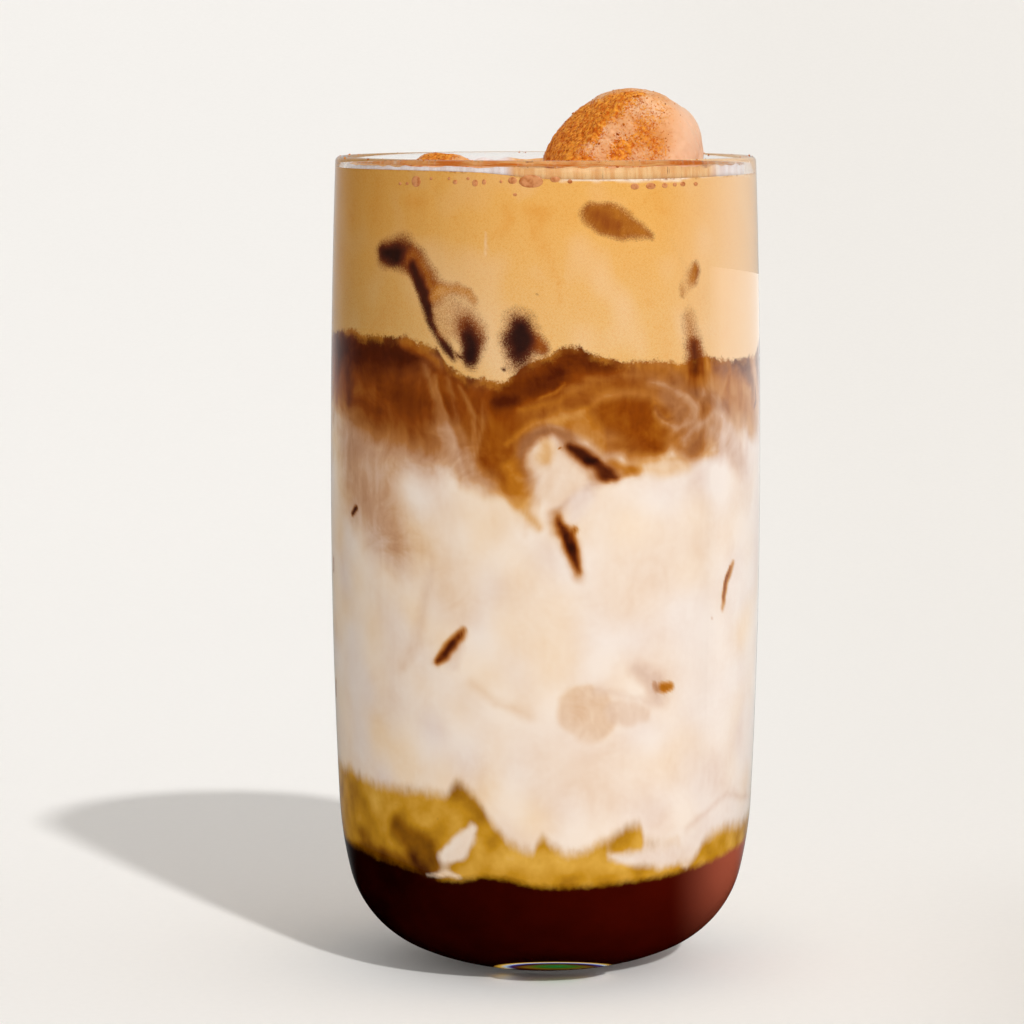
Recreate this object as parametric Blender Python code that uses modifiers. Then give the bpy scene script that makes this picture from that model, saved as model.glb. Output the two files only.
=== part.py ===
"""Iced latte in a tall straight tumbler, modelled at its real size.

Metres, +Z up, origin under the middle of the foot. The front of the drink faces -Y.
The drink is five layers that run right through the glass, with two ice cubes that
stand out of the foam. Every layer meets its neighbours with a gap of 0.3 mm.
"""

import math

import bmesh
import bpy
import numpy as np
from mathutils import Vector

# Driving dimensions of the tumbler
GLASS_HEIGHT = 0.140
WIDEST_RADIUS = 0.0372
UPPER_BARREL_RADIUS = 1.6
WALL = 0.0018
BASE = 0.0045
FOOT_RECESS_RADIUS = 0.0092
FOOT_RECESS_DEPTH = 0.0009
LIP_POINTS = 5

# Arcs of the outer wall, from the widest ring down to the foot.
# Each is its radius, the slope in degrees where it ends, and its number of steps.
WALL_ARCS = (
    (1.15, 87.3, 2),
    (0.069, 76.5, 2),
    (0.019, 24.6, 6),
    (0.0415, 8.6, 3),
)

# Driving dimensions of the drink
GAP = 0.0003
FOAM_LEVEL = 0.1354
MENISCUS_REACH = 0.0012
AROUND = 60

# Edges of the layers where they meet the glass, as (azimuth in degrees, height in mm).
# Azimuth 0 is the front, and it grows towards +X.
SYRUP_EDGE = (
    (-180, 21.5), (-135, 22.3), (-75, 22.7), (-47, 21.5), (-31, 19.8), (-17, 21.0),
    (-4, 19.5), (14, 19.4), (40, 20.6), (72, 22.6), (110, 22.2), (150, 21.0),
)
HAZE_EDGE = (
    (-180, 33.0), (-150, 29.0), (-125, 33.0), (-100, 36.0), (-70, 36.7), (-46, 35.0),
    (-31, 35.0), (-25, 37.5), (-18, 34.0), (-11, 28.0), (-4, 26.0), (-1, 28.0),
    (5, 26.0), (16, 28.0), (26, 30.0), (34, 27.0), (43, 23.5), (50, 26.5), (70, 27.0),
    (90, 28.0), (120, 31.0), (150, 30.0),
)
MILK_EDGE = (
    (-180, 88.0), (-150, 84.0), (-120, 90.0), (-95, 85.0), (-67, 86.0), (-41, 87.0),
    (-26, 89.0), (-12, 82.0), (-5, 80.0), (3, 91.0), (14, 88.0), (27, 89.0),
    (44, 90.5), (65, 91.0), (90, 88.0), (120, 85.0), (150, 91.0),
)
COFFEE_EDGE = (
    (-180, 108.0), (-150, 105.0), (-122, 110.0), (-98, 107.0), (-78, 110.0),
    (-60, 111.5), (-40, 110.5), (-29, 109.0), (-22, 104.5), (-12, 103.5), (-3, 107.5),
    (6, 109.5), (20, 107.0), (36, 106.5), (50, 107.0), (61, 106.0), (70, 107.5),
    (80, 111.0), (100, 108.0), (125, 104.0), (150, 109.0),
)
FOAM_CONTACT = (
    (-180, 137.6), (-130, 137.9), (-75, 138.1), (-20, 138.0), (2, 136.9), (75, 137.1),
    (130, 137.3),
)

# Flats of the ice cubes, as (azimuth, elevation, distance from the centre in mm).
# Azimuth 0 faces the front, 90 faces +X, and elevation 90 is straight up.
LARGE_ICE_CENTRE = (0.0135, 0.0010, 0.1390)
LARGE_ICE_FLATS = (
    (-2, 12, 10.5), (176, -6, 11.5), (-74, 43, 9.8), (84, 62, 13.4), (-80, 82, 12.6),
    (86, 28, 15.4), (84, -6, 13.5), (-86, 2, 13.8), (-82, -48, 13.0), (70, -52, 13.0),
    (0, -84, 12.8), (48, 10, 13.8),
)
SMALL_ICE_CENTRE = (-0.0185, 0.0110, 0.1295)
SMALL_ICE_FLATS = (
    (10, 4, 9.5), (100, 0, 10.0), (-170, 2, 9.5), (-80, -6, 9.5), (-70, 58, 9.4),
    (110, 52, 9.8), (0, -86, 10.5),
)
ICE_SHARPNESS = 9

# Surface finishes: base colour, roughness, metallic value
FINISHES = {
    "glass": ((0.93, 0.94, 0.95), 0.02, 0.0),
    "syrup": ((0.045, 0.006, 0.002), 0.25, 0.0),
    "haze": ((0.62, 0.40, 0.11), 0.35, 0.0),
    "milk": ((0.90, 0.80, 0.68), 0.35, 0.0),
    "coffee": ((0.33, 0.14, 0.04), 0.30, 0.0),
    "foam": ((0.80, 0.56, 0.32), 0.45, 0.0),
    "ice": ((0.86, 0.62, 0.47), 0.20, 0.0),
}


def clear_scene():
    """Leave an empty scene."""
    for old in list(bpy.data.objects):
        bpy.data.objects.remove(old, do_unlink=True)


def new_collection(name):
    """Add a collection under the scene's own."""
    collection = bpy.data.collections.new(name)
    bpy.context.scene.collection.children.link(collection)
    return collection


def make_material(name):
    """Make a Principled material from its finish."""
    colour, roughness, metallic = FINISHES[name]
    material = bpy.data.materials.new(name)
    material.use_nodes = True
    material.diffuse_color = (*colour, 1.0)
    shader = material.node_tree.nodes["Principled BSDF"]
    shader.inputs["Base Color"].default_value = (*colour, 1.0)
    shader.inputs["Roughness"].default_value = roughness
    shader.inputs["Metallic"].default_value = metallic
    if name == "glass":
        shader.inputs["Transmission Weight"].default_value = 1.0
        shader.inputs["IOR"].default_value = 1.5
    return material


def outer_wall():
    """Points (radius, height, slope) of the glass's outer wall, from the foot to the rim."""
    points = [(WIDEST_RADIUS, 0.0, math.radians(90))]
    for arc_radius, end_slope, steps in WALL_ARCS:
        start_radius, start_height, start = points[-1]
        end = math.radians(end_slope)
        for step in range(1, steps + 1):
            slope = start + (end - start) * step / steps
            radius = start_radius - arc_radius * (math.sin(start) - math.sin(slope))
            height = start_height - arc_radius * (math.cos(slope) - math.cos(start))
            points.append((radius, height, slope))
    foot_height = points[-1][1]
    points = [(radius, height - foot_height, slope) for radius, height, slope in reversed(points)]
    widest_height = points[-1][1]
    barrel_centre = WIDEST_RADIUS - UPPER_BARREL_RADIUS
    for share in (0.5, 1.0):
        rise = (GLASS_HEIGHT - WALL / 2 - widest_height) * share
        radius = barrel_centre + math.sqrt(UPPER_BARREL_RADIUS**2 - rise**2)
        slope = math.radians(90) + math.asin(rise / UPPER_BARREL_RADIUS)
        points.append((radius, widest_height + rise, slope))
    return points


def inner_wall(clearance=0.0):
    """Points (radius, height) of the bowl, from the floor's edge to the rim, less a clearance."""
    points = []
    for radius, height, slope in outer_wall():
        flatness = max(0.0, 1 - slope / math.radians(90))
        thickness = WALL + (BASE - WALL) * flatness**1.5 + clearance
        points.append((radius - thickness * math.sin(slope), height + thickness * math.cos(slope)))
    return points


def bowl_radius(height):
    """Radius of the drink's side at a height, one gap inside the glass."""
    radii, heights = zip(*inner_wall(GAP))
    return float(np.interp(height, heights, radii))


def drink_floor():
    """Height of the drink's underside, one gap above the glass's floor."""
    return inner_wall(GAP)[0][1]


def edge_height(edge, azimuth):
    """Height in metres of a layer's edge at an azimuth, smooth all the way round."""
    count = len(edge)
    turned = (azimuth + 180) % 360 - 180
    index = max(i for i in range(count) if edge[i][0] <= turned + 1e-6)

    def knot(i):
        lap, place = divmod(i, count)
        return edge[place][0] + 360 * lap, edge[place][1]

    (a0, h0), (a1, h1), (a2, h2), (a3, h3) = (knot(index + i) for i in (-1, 0, 1, 2))
    span = a2 - a1
    share = (turned - a1) / span
    lead_in = (h2 - h0) / (a2 - a0) * span
    lead_out = (h3 - h1) / (a3 - a1) * span
    height = (
        h1 * (2 * share**3 - 3 * share**2 + 1)
        + lead_in * (share**3 - 2 * share**2 + share)
        + h2 * (3 * share**2 - 2 * share**3)
        + lead_out * (share**3 - share**2)
    )
    return height / 1000


def mean_height(edge):
    """Average height of an edge round the glass."""
    turn = np.linspace(-180, 180, AROUND, endpoint=False)
    return float(np.mean([edge_height(edge, azimuth) for azimuth in turn]))


def layer_surface(edge, offset=0.0):
    """Surface between two layers: at the glass it follows the edge, and it levels out inwards."""
    middle = mean_height(edge)

    def height(azimuth, share):
        return middle + (edge_height(edge, azimuth) - middle) * share**2 + offset

    return height


def floor_surface(azimuth, share):
    """Underside of the lowest layer."""
    return drink_floor()


def foam_surface(azimuth, share):
    """Level top of the foam, which climbs the glass in a narrow meniscus."""
    from_wall = bowl_radius(FOAM_LEVEL) * (1 - share)
    climb = edge_height(FOAM_CONTACT, azimuth) - FOAM_LEVEL
    return FOAM_LEVEL + climb * math.exp(-from_wall / MENISCUS_REACH)


def turned(name, profile, material, collection):
    """Turn a profile of (radius, height) round Z. It runs down the outer side, from the top."""
    outline = bmesh.new()
    corners = [outline.verts.new((radius, 0.0, height)) for radius, height in profile]
    for upper, lower in zip(corners, corners[1:]):
        outline.edges.new((upper, lower))
    mesh = bpy.data.meshes.new(name)
    outline.to_mesh(mesh)
    outline.free()
    body = bpy.data.objects.new(name, mesh)
    collection.objects.link(body)
    screw = body.modifiers.new("Turn", "SCREW")
    screw.axis = "Z"
    screw.angle = math.radians(360)
    screw.steps = AROUND
    screw.render_steps = AROUND
    screw.use_merge_vertices = True
    screw.merge_threshold = 0.00001
    screw.use_smooth_shade = True
    mesh.materials.append(material)
    return body


def made_real(body, collection):
    """Swap an object for the mesh that its modifiers make."""
    graph = bpy.context.evaluated_depsgraph_get()
    mesh = bpy.data.meshes.new_from_object(body.evaluated_get(graph))
    name = body.name
    bpy.data.objects.remove(body, do_unlink=True)
    mesh.name = name
    solid = bpy.data.objects.new(name, mesh)
    collection.objects.link(solid)
    return solid


def build_glass(material, collection):
    """Tumbler with a shallow recess inside its foot, and a rounded lip."""
    outside = [(radius, height) for radius, height, _ in outer_wall()]
    inside = inner_wall()
    rim_radius = outside[-1][0] - WALL / 2
    rim_height = outside[-1][1]
    lip = []
    for step in range(1, LIP_POINTS):
        turn = math.pi * step / LIP_POINTS
        lip.append((rim_radius - WALL / 2 * math.cos(turn), rim_height + WALL / 2 * math.sin(turn)))
    recess = [(FOOT_RECESS_RADIUS, 0.0), (FOOT_RECESS_RADIUS * 0.7, FOOT_RECESS_DEPTH * 0.8)]
    profile = [(0.0, inside[0][1])] + inside + lip[::-1] + outside[::-1]
    profile += recess + [(0.0, FOOT_RECESS_DEPTH)]
    return turned("glass", profile, material, collection)


def split_quads(mesh):
    """Split bent quads along their shorter diagonals, so that two layers meet in the same folds."""
    folded = bmesh.new()
    folded.from_mesh(mesh)
    bmesh.ops.triangulate(folded, faces=folded.faces[:], quad_method="SHORT_EDGE")
    folded.to_mesh(mesh)
    folded.free()


def build_layer(name, lower, upper, rings, wall_steps, material, collection):
    """Layer of the drink between two surfaces: a turned blank that is then fitted to them."""
    top = [(share, 1.0) for share in rings]
    side = [(1.0, 1 - step / wall_steps) for step in range(wall_steps)]
    bottom = [(share, 0.0) for share in reversed(rings)]
    profile = [(0.0, 1.0)] + top + side + [(1.0, 0.0)] + bottom + [(0.0, 0.0)]
    body = made_real(turned(name, profile, material, collection), collection)
    for vertex in body.data.vertices:
        share = math.hypot(vertex.co.x, vertex.co.y)
        azimuth = math.atan2(vertex.co.x, -vertex.co.y)
        floor = lower(math.degrees(azimuth), share)
        ceiling = upper(math.degrees(azimuth), share)
        height = floor + (ceiling - floor) * vertex.co.z
        radius = share * bowl_radius(height)
        vertex.co = (radius * math.sin(azimuth), -radius * math.cos(azimuth), height)
    split_quads(body.data)
    return body


def facing(azimuth, elevation):
    """Unit vector towards an azimuth and an elevation in degrees."""
    a = math.radians(azimuth)
    e = math.radians(elevation)
    return Vector((math.sin(a) * math.cos(e), -math.cos(a) * math.cos(e), math.sin(e)))


def build_ice(name, centre, flats, grow, fineness, material, collection):
    """Melted ice cube: a ball pressed against flats, whose edges stay round."""
    ball = bmesh.new()
    bmesh.ops.create_icosphere(ball, subdivisions=fineness, radius=1.0)
    planes = [(facing(azimuth, elevation), distance / 1000 + grow) for azimuth, elevation, distance in flats]
    for vertex in ball.verts:
        ray = vertex.co.normalized()
        pressed = sum(max(0.0, ray.dot(flat) / distance) ** ICE_SHARPNESS for flat, distance in planes)
        vertex.co = Vector(centre) + ray * pressed ** (-1 / ICE_SHARPNESS)
    mesh = bpy.data.meshes.new(name)
    ball.to_mesh(mesh)
    ball.free()
    mesh.materials.append(material)
    mesh.shade_smooth()
    body = bpy.data.objects.new(name, mesh)
    collection.objects.link(body)
    return body


def cut_pocket(body, cutter):
    """Cut one piece's room out of another."""
    cut = body.modifiers.new("Room for " + cutter.name, "BOOLEAN")
    cut.operation = "DIFFERENCE"
    cut.solver = "EXACT"
    cut.object = cutter
    cutter.hide_render = True
    cutter.display_type = "WIRE"


def main():
    clear_scene()
    latte = new_collection("iced_latte")
    cutters = new_collection("cutters")
    cutters.hide_render = True
    finish = {name: make_material(name) for name in FINISHES}

    build_glass(finish["glass"], latte)

    even = (0.5, 0.86)
    to_meniscus = (0.5, 0.86, 0.93, 0.97)
    syrup_top = layer_surface(SYRUP_EDGE)
    haze_top = layer_surface(HAZE_EDGE)
    milk_top = layer_surface(MILK_EDGE)
    coffee_top = layer_surface(COFFEE_EDGE)
    build_layer("syrup", floor_surface, syrup_top, even, 6, finish["syrup"], latte)
    above_syrup = layer_surface(SYRUP_EDGE, GAP)
    build_layer("haze", above_syrup, haze_top, even, 2, finish["haze"], latte)
    above_haze = layer_surface(HAZE_EDGE, GAP)
    build_layer("milk", above_haze, milk_top, even, 4, finish["milk"], latte)
    above_milk = layer_surface(MILK_EDGE, GAP)
    build_layer("coffee", above_milk, coffee_top, even, 2, finish["coffee"], latte)
    above_coffee = layer_surface(COFFEE_EDGE, GAP)
    foam = build_layer("foam", above_coffee, foam_surface, to_meniscus, 2, finish["foam"], latte)

    cubes = (
        ("ice_large", LARGE_ICE_CENTRE, LARGE_ICE_FLATS, 4),
        ("ice_small", SMALL_ICE_CENTRE, SMALL_ICE_FLATS, 3),
    )
    for name, centre, flats, fineness in cubes:
        build_ice(name, centre, flats, 0.0, fineness, finish["ice"], latte)
        room = build_ice(name + "_room", centre, flats, GAP, fineness, finish["ice"], cutters)
        cut_pocket(foam, room)


main()
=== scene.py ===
import math

import bmesh
import bpy
import numpy as np
from mathutils import Matrix, Vector


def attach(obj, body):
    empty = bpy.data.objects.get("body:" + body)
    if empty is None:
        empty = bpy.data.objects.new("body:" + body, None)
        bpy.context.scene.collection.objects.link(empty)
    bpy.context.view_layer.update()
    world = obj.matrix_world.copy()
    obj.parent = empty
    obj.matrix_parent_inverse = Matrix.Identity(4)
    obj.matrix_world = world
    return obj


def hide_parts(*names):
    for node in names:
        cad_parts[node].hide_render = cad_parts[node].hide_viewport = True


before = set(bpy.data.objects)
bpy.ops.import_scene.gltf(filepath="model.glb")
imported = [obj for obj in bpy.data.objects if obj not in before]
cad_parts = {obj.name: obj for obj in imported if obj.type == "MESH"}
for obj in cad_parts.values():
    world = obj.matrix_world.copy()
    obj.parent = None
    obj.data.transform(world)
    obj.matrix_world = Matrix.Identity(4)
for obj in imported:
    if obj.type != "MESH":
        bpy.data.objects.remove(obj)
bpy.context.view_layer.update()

mm = 0.001

# Camera: it stands in front, a little above the rim, and looks slightly down
viewCard = {
    "place": (-5.79 * mm, -750 * mm, 157.0 * mm),
    "pitch": 5.99,          # degrees down
    "focalPixels": 4341.0,  # for an image of 1024 pixels
    "imageSize": 1024,
    "sensor": 36.0,
}


def makeCamera(card):
    data = bpy.data.cameras.new("camera")
    data.sensor_width = card["sensor"]
    data.lens = card["focalPixels"] * card["sensor"] / card["imageSize"]
    data.clip_start = 0.05
    data.clip_end = 60
    camera = bpy.data.objects.new("camera", data)
    camera.location = card["place"]
    camera.rotation_euler = (math.radians(90 - card["pitch"]), 0, 0)
    bpy.context.scene.collection.objects.link(camera)
    bpy.context.scene.camera = camera


makeCamera(viewCard)

# The tumbler's own sizes, as it was modelled
glassCard = {
    "height": 140 * mm,
    "widest": 37.2 * mm,
    "barrel": 1600 * mm,       # radius of the upper wall's long curve
    "wall": 1.8 * mm,
    "base": 4.5 * mm,
    "recess": 9.2 * mm,        # radius of the hollow under the foot
    "recessDepth": 0.9 * mm,
    # arcs from the widest ring down to the foot: radius, slope where it ends, steps
    "arcs": ((1150 * mm, 87.3, 10), (69 * mm, 76.5, 8), (19 * mm, 24.6, 22), (41.5 * mm, 8.6, 10)),
    "upperSteps": 10,
    "lipSteps": 14,
    "around": 180,
    "tint": (0.985, 0.985, 0.99),
}


def outerWall(card):
    # points (radius, height, slope) from the foot to the rim
    points = [(card["widest"], 0.0, math.pi / 2)]
    for arcRadius, endSlope, steps in card["arcs"]:
        startRadius, startHeight, start = points[-1]
        end = math.radians(endSlope)
        for step in range(1, steps + 1):
            slope = start + (end - start) * step / steps
            radius = startRadius - arcRadius * (math.sin(start) - math.sin(slope))
            height = startHeight - arcRadius * (math.cos(slope) - math.cos(start))
            points.append((radius, height, slope))
    footHeight = points[-1][1]
    points = [(radius, height - footHeight, slope) for radius, height, slope in reversed(points)]
    widestHeight = points[-1][1]
    for step in range(1, card["upperSteps"] + 1):
        rise = (card["height"] - card["wall"] / 2 - widestHeight) * step / card["upperSteps"]
        radius = card["widest"] - card["barrel"] + math.sqrt(card["barrel"] ** 2 - rise ** 2)
        points.append((radius, widestHeight + rise, math.pi / 2 + math.asin(rise / card["barrel"])))
    return points


def innerWall(card, inset=0.0):
    # the bowl, offset inwards from the outer wall: thin at the side, thick under the floor
    points = []
    for radius, height, slope in outerWall(card):
        flatness = max(0.0, 1 - slope / (math.pi / 2))
        thickness = card["wall"] + (card["base"] - card["wall"]) * flatness ** 1.5 + inset
        points.append((radius - thickness * math.sin(slope), height + thickness * math.cos(slope)))
    return points


drinkOverlap = 0.05 * mm  # how far the drink reaches into the wall
outerRadii, outerHeights, _ = (np.array(row) for row in zip(*outerWall(glassCard)))
bowlRadii, bowlHeights = (np.array(row) for row in zip(*innerWall(glassCard, -drinkOverlap)))
drinkFloor = bowlHeights[0]


def bowlRadius(height):
    return np.interp(height, bowlHeights, bowlRadii)


refraction = 1.035  # the wall bends each line of sight, so the drink is met a little further round


def sightLine(px, py, card=viewCard):
    # direction in which the camera sees a pixel
    pitch = math.radians(card["pitch"])
    across = (px - card["imageSize"] / 2) / card["focalPixels"]
    down = (py - card["imageSize"] / 2) / card["focalPixels"]
    level, drop = math.cos(pitch), math.sin(pitch)
    return Vector((across, level - down * drop, -drop - down * level))


def wallSpot(px, py):
    # azimuth in degrees and height in metres of what the photo shows at a pixel of the glass
    ray = sightLine(px, py)
    start = Vector(viewCard["place"])
    height = glassCard["height"] / 2
    for _ in range(4):
        radius = float(np.interp(height, outerHeights, outerRadii))
        a = ray.x ** 2 + ray.y ** 2
        b = start.x * ray.x + start.y * ray.y
        c = start.x ** 2 + start.y ** 2 - radius ** 2
        reach = (-b - math.sqrt(max(0.0, b * b - a * c))) / a
        height = start.z + ray.z * reach
    spot = start + ray * reach
    return math.degrees(math.atan2(spot.x, -spot.y)) * refraction, height


def smooth(low, high, value):
    share = np.clip((value - low) / (high - low), 0, 1)
    return share * share * (3 - 2 * share)


def waves(points, size, seed, count=20):
    # soft random field with a spread of about 1: many sine waves that run in all directions
    draw = np.random.default_rng(seed)
    total = np.zeros(len(points))
    for _ in range(count):
        heading = draw.normal(size=3)
        heading *= 2 * math.pi / (np.linalg.norm(heading) * size * draw.uniform(0.6, 1.8))
        total += np.sin(points @ heading + draw.uniform(0, 2 * math.pi))
    return total / math.sqrt(count / 2)


# Mesh helpers

def newPiece(name, shape, smoothFaces=True):
    mesh = bpy.data.meshes.new(name)
    shape.to_mesh(mesh)
    shape.free()
    if smoothFaces:
        mesh.shade_smooth()
    piece = bpy.data.objects.new(name, mesh)
    bpy.context.scene.collection.objects.link(piece)
    return piece


def corners(parts):
    # the vertices among the parts that a bmesh operator returns
    return [part for part in parts if isinstance(part, bmesh.types.BMVert)]


def spun(profile, steps, sectors=9):
    # a profile of (radius, height) turned round Z, one sector copied round, with its poles closed
    shape = bmesh.new()
    dots = [shape.verts.new((radius, 0, height)) for radius, height in profile]
    edges = [shape.edges.new(pair) for pair in zip(dots, dots[1:])]
    sector = 2 * math.pi / sectors
    bmesh.ops.spin(shape, geom=dots + edges, axis=(0, 0, 1), cent=(0, 0, 0),
                   steps=steps // sectors, angle=sector)
    first = shape.verts[:] + shape.edges[:] + shape.faces[:]
    for count in range(1, sectors):
        copied = bmesh.ops.duplicate(shape, geom=first)["geom"]
        bmesh.ops.rotate(shape, verts=corners(copied), cent=(0, 0, 0),
                         matrix=Matrix.Rotation(count * sector, 3, "Z"))
    bmesh.ops.remove_doubles(shape, verts=shape.verts[:], dist=0.000002)
    bmesh.ops.recalc_face_normals(shape, faces=shape.faces[:])
    return shape


def swept(line, away):
    # an open sheet: a line of points drawn out along one straight way
    shape = bmesh.new()
    dots = [shape.verts.new(dot) for dot in line]
    edges = [shape.edges.new(pair) for pair in zip(dots, dots[1:])]
    drawn = bmesh.ops.extrude_edge_only(shape, edges=edges)["geom"]
    bmesh.ops.translate(shape, verts=corners(drawn), vec=away)
    return shape


def places(mesh):
    flat = np.empty(len(mesh.vertices) * 3, np.float32)
    mesh.vertices.foreach_get("co", flat)
    return flat.reshape(-1, 3).astype(float)


def upright(radius, turn, height):
    # points at a turn round Z, which is 0 at the front and grows towards +X
    return np.stack((radius * np.sin(turn), -radius * np.cos(turn), height), 1)


def movePlaces(mesh, points):
    mesh.vertices.foreach_set("co", points.astype(np.float32).ravel())
    mesh.update()


def paintField(mesh, name, values):
    field = mesh.attributes.new(name, "FLOAT", "POINT")
    field.data.foreach_set("value", values.astype(np.float32))


# Node helpers

def srgb(red, green, blue):
    # a colour as seen on a screen, 0 to 255, made linear
    steps = [part / 255 for part in (red, green, blue)]
    return tuple(s / 12.92 if s <= 0.04045 else ((s + 0.055) / 1.055) ** 2.4 for s in steps) + (1.0,)


def put(tree, kind, inputs=None, **settings):
    node = tree.nodes.new("ShaderNode" + kind)
    for name, value in settings.items():
        setattr(node, name, value)
    for name, value in (inputs or {}).items():
        socket = node.inputs[name]
        if isinstance(value, bpy.types.NodeSocket):
            tree.links.new(value, socket)
        else:
            socket.default_value = value
    return node


def mixColour(tree, share, first, second, blend="MIX"):
    node = put(tree, "Mix", data_type="RGBA", blend_type=blend)
    for index, value in ((0, share), (6, first), (7, second)):
        if isinstance(value, bpy.types.NodeSocket):
            tree.links.new(value, node.inputs[index])
        else:
            node.inputs[index].default_value = value
    return node.outputs[2]


def sums(tree, operation, first, second=0.0, third=0.0, clamp=False):
    node = put(tree, "Math", operation=operation, use_clamp=clamp)
    for socket, value in zip(node.inputs, (first, second, third)):
        if isinstance(value, bpy.types.NodeSocket):
            tree.links.new(value, socket)
        else:
            socket.default_value = value
    return node.outputs[0]


def stepUp(tree, value, low, high):
    node = put(tree, "MapRange", {"Value": value, "From Min": low, "From Max": high},
               interpolation_type="SMOOTHSTEP")
    return node.outputs["Result"]


def ramp(tree, value, stops):
    node = put(tree, "ValToRGB", {"Fac": value})
    marks = node.color_ramp.elements
    while len(marks) < len(stops):
        marks.new(0.5)
    for mark, (place, colour) in zip(marks, stops):
        mark.position = place
        mark.color = colour
    return node.outputs["Color"]


def noise(tree, where, grain, detail=2.0, rough=0.5, warp=0.0):
    # grain is the size of the pattern in metres
    node = put(tree, "TexNoise", {"Vector": where, "Scale": 1 / grain, "Detail": detail,
                                  "Roughness": rough, "Distortion": warp})
    return node.outputs["Fac"]


def objectPlace(tree):
    # Object coordinates, whole and split into X, Y and Z
    where = put(tree, "TexCoord").outputs["Object"]
    return where, put(tree, "SeparateXYZ", {0: where}).outputs


def stretched(tree, where, scale):
    return put(tree, "Mapping", {"Vector": where, "Scale": scale}).outputs[0]


def attribute(tree, name):
    return put(tree, "Attribute", attribute_name=name).outputs["Fac"]


def times(tree, first, second, clamp=False):
    return sums(tree, "MULTIPLY", first, second, clamp=clamp)


def newMaterial(name):
    material = bpy.data.materials.new(name)
    material.use_nodes = True
    return material, material.node_tree, material.node_tree.nodes["Principled BSDF"]


def setAll(shader, values):
    for name, value in values.items():
        shader.inputs[name].default_value = value


# Glass

def makeGlassMaterial(card):
    material, tree, shader = newMaterial("clearGlass")
    setAll(shader, {"Base Color": (*card["tint"], 1), "Roughness": 0.0, "IOR": 1.5,
                    "Transmission Weight": 1.0})
    # light on its way to the drink passes straight through
    path = put(tree, "LightPath")
    straight = put(tree, "BsdfTransparent", {"Color": (0.985, 0.985, 0.985, 1)})
    passing = sums(tree, "MAXIMUM", path.outputs["Is Shadow Ray"], path.outputs["Is Diffuse Ray"])
    both = put(tree, "MixShader", {0: passing, 1: shader.outputs[0], 2: straight.outputs[0]})
    tree.links.new(both.outputs[0], tree.nodes["Material Output"].inputs["Surface"])
    return material


def makeGlass(card):
    outside = [(radius, height) for radius, height, _ in outerWall(card)]
    inside = innerWall(card)
    lipRadius = card["wall"] / 2
    rimRadius, rimHeight = outside[-1][0] - lipRadius, outside[-1][1]
    lip = []
    for step in range(1, card["lipSteps"]):
        turn = math.pi * step / card["lipSteps"]
        lip.append((rimRadius - lipRadius * math.cos(turn), rimHeight + lipRadius * math.sin(turn)))
    hollow = [(card["recess"] * math.cos(turn), card["recessDepth"] * math.sin(turn))
              for turn in np.linspace(0, math.pi / 2, 9)]
    hollow[-1] = (0.0, card["recessDepth"])
    profile = [(0.0, inside[0][1])] + inside + lip + outside[::-1] + hollow
    glass = newPiece("tumbler", spun(profile, card["around"]))
    glass.data.materials.append(makeGlassMaterial(card))
    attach(glass, "root")
    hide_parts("glass")


makeGlass(glassCard)
print("glass turned")

# Where the layers meet the wall, read from the fixed parts

ringStep = 6  # degrees between the fixed parts' corners


def ringOf(node):
    # height of a layer's upper edge against the glass, at each corner from -180 to 180 degrees
    points = places(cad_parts[node].data)
    radius = np.hypot(points[:, 0], points[:, 1])
    atWall = radius > bowlRadius(points[:, 2]) - 0.7 * mm
    azimuth = np.degrees(np.arctan2(points[atWall, 0], -points[atWall, 1]))
    corner = np.round(azimuth / ringStep).astype(int)
    turns = np.arange(-180, 181, ringStep)
    heights = points[atWall, 2]
    highest = [heights[(corner - turn // ringStep) % (360 // ringStep) == 0].max() for turn in turns]
    return turns, np.array(highest)


rings = {node: ringOf(node) for node in ("syrup", "haze", "milk", "coffee", "foam")}


def ringHeight(node, azimuth):
    return np.interp(azimuth, *rings[node])


def layerSurface(node):
    middle = float(np.mean(rings[node][1][:-1]))

    def height(azimuth, share):
        return middle + (ringHeight(node, azimuth) - middle) * share ** 2

    return height


# Lines that the photo shows across the front of the drink, as pixels from left to right
linesCard = {
    "foam": ((340, 333), (347, 330), (354, 329), (360, 336), (372, 337), (388, 338), (400, 338), (408, 337),
             (412, 340), (420, 345), (428, 347), (438, 350), (445, 362), (455, 372), (465, 378), (484, 380),
             (500, 384), (512, 378), (520, 368), (532, 362), (545, 357), (553, 355), (558, 350), (566, 347),
             (578, 347), (586, 352), (599, 357), (613, 360), (628, 363), (645, 362), (657, 361), (668, 362),
             (679, 365), (692, 362), (703, 357), (716, 359), (731, 362), (747, 359)),
    "milk": ((345, 455), (380, 452), (410, 458), (430, 466), (452, 478), (470, 488), (490, 492), (505, 505),
             (525, 532), (540, 520), (550, 445), (566, 448), (590, 470), (612, 480), (628, 478), (650, 470),
             (690, 466), (715, 458), (745, 452)),
    "haze": ((346, 765), (349, 763), (361, 773), (375, 780), (392, 784), (424, 787), (446, 792), (452, 783),
             (457, 777), (464, 781), (475, 792), (481, 802), (489, 815), (507, 837), (520, 844), (533, 848),
             (538, 838), (543, 833), (552, 842), (567, 850), (584, 847), (606, 836), (618, 828), (634, 820),
             (641, 822), (645, 838), (662, 840), (679, 838), (688, 862), (698, 849), (706, 834), (724, 823),
             (741, 820), (746, 814)),
    "syrup": ((346, 840), (361, 849), (375, 857), (392, 863), (416, 871), (439, 880), (461, 881), (486, 877),
              (510, 881), (533, 887), (569, 888), (599, 886), (622, 883), (643, 880), (662, 877), (679, 872),
              (698, 866), (716, 859), (731, 850), (742, 843)),
}


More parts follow.
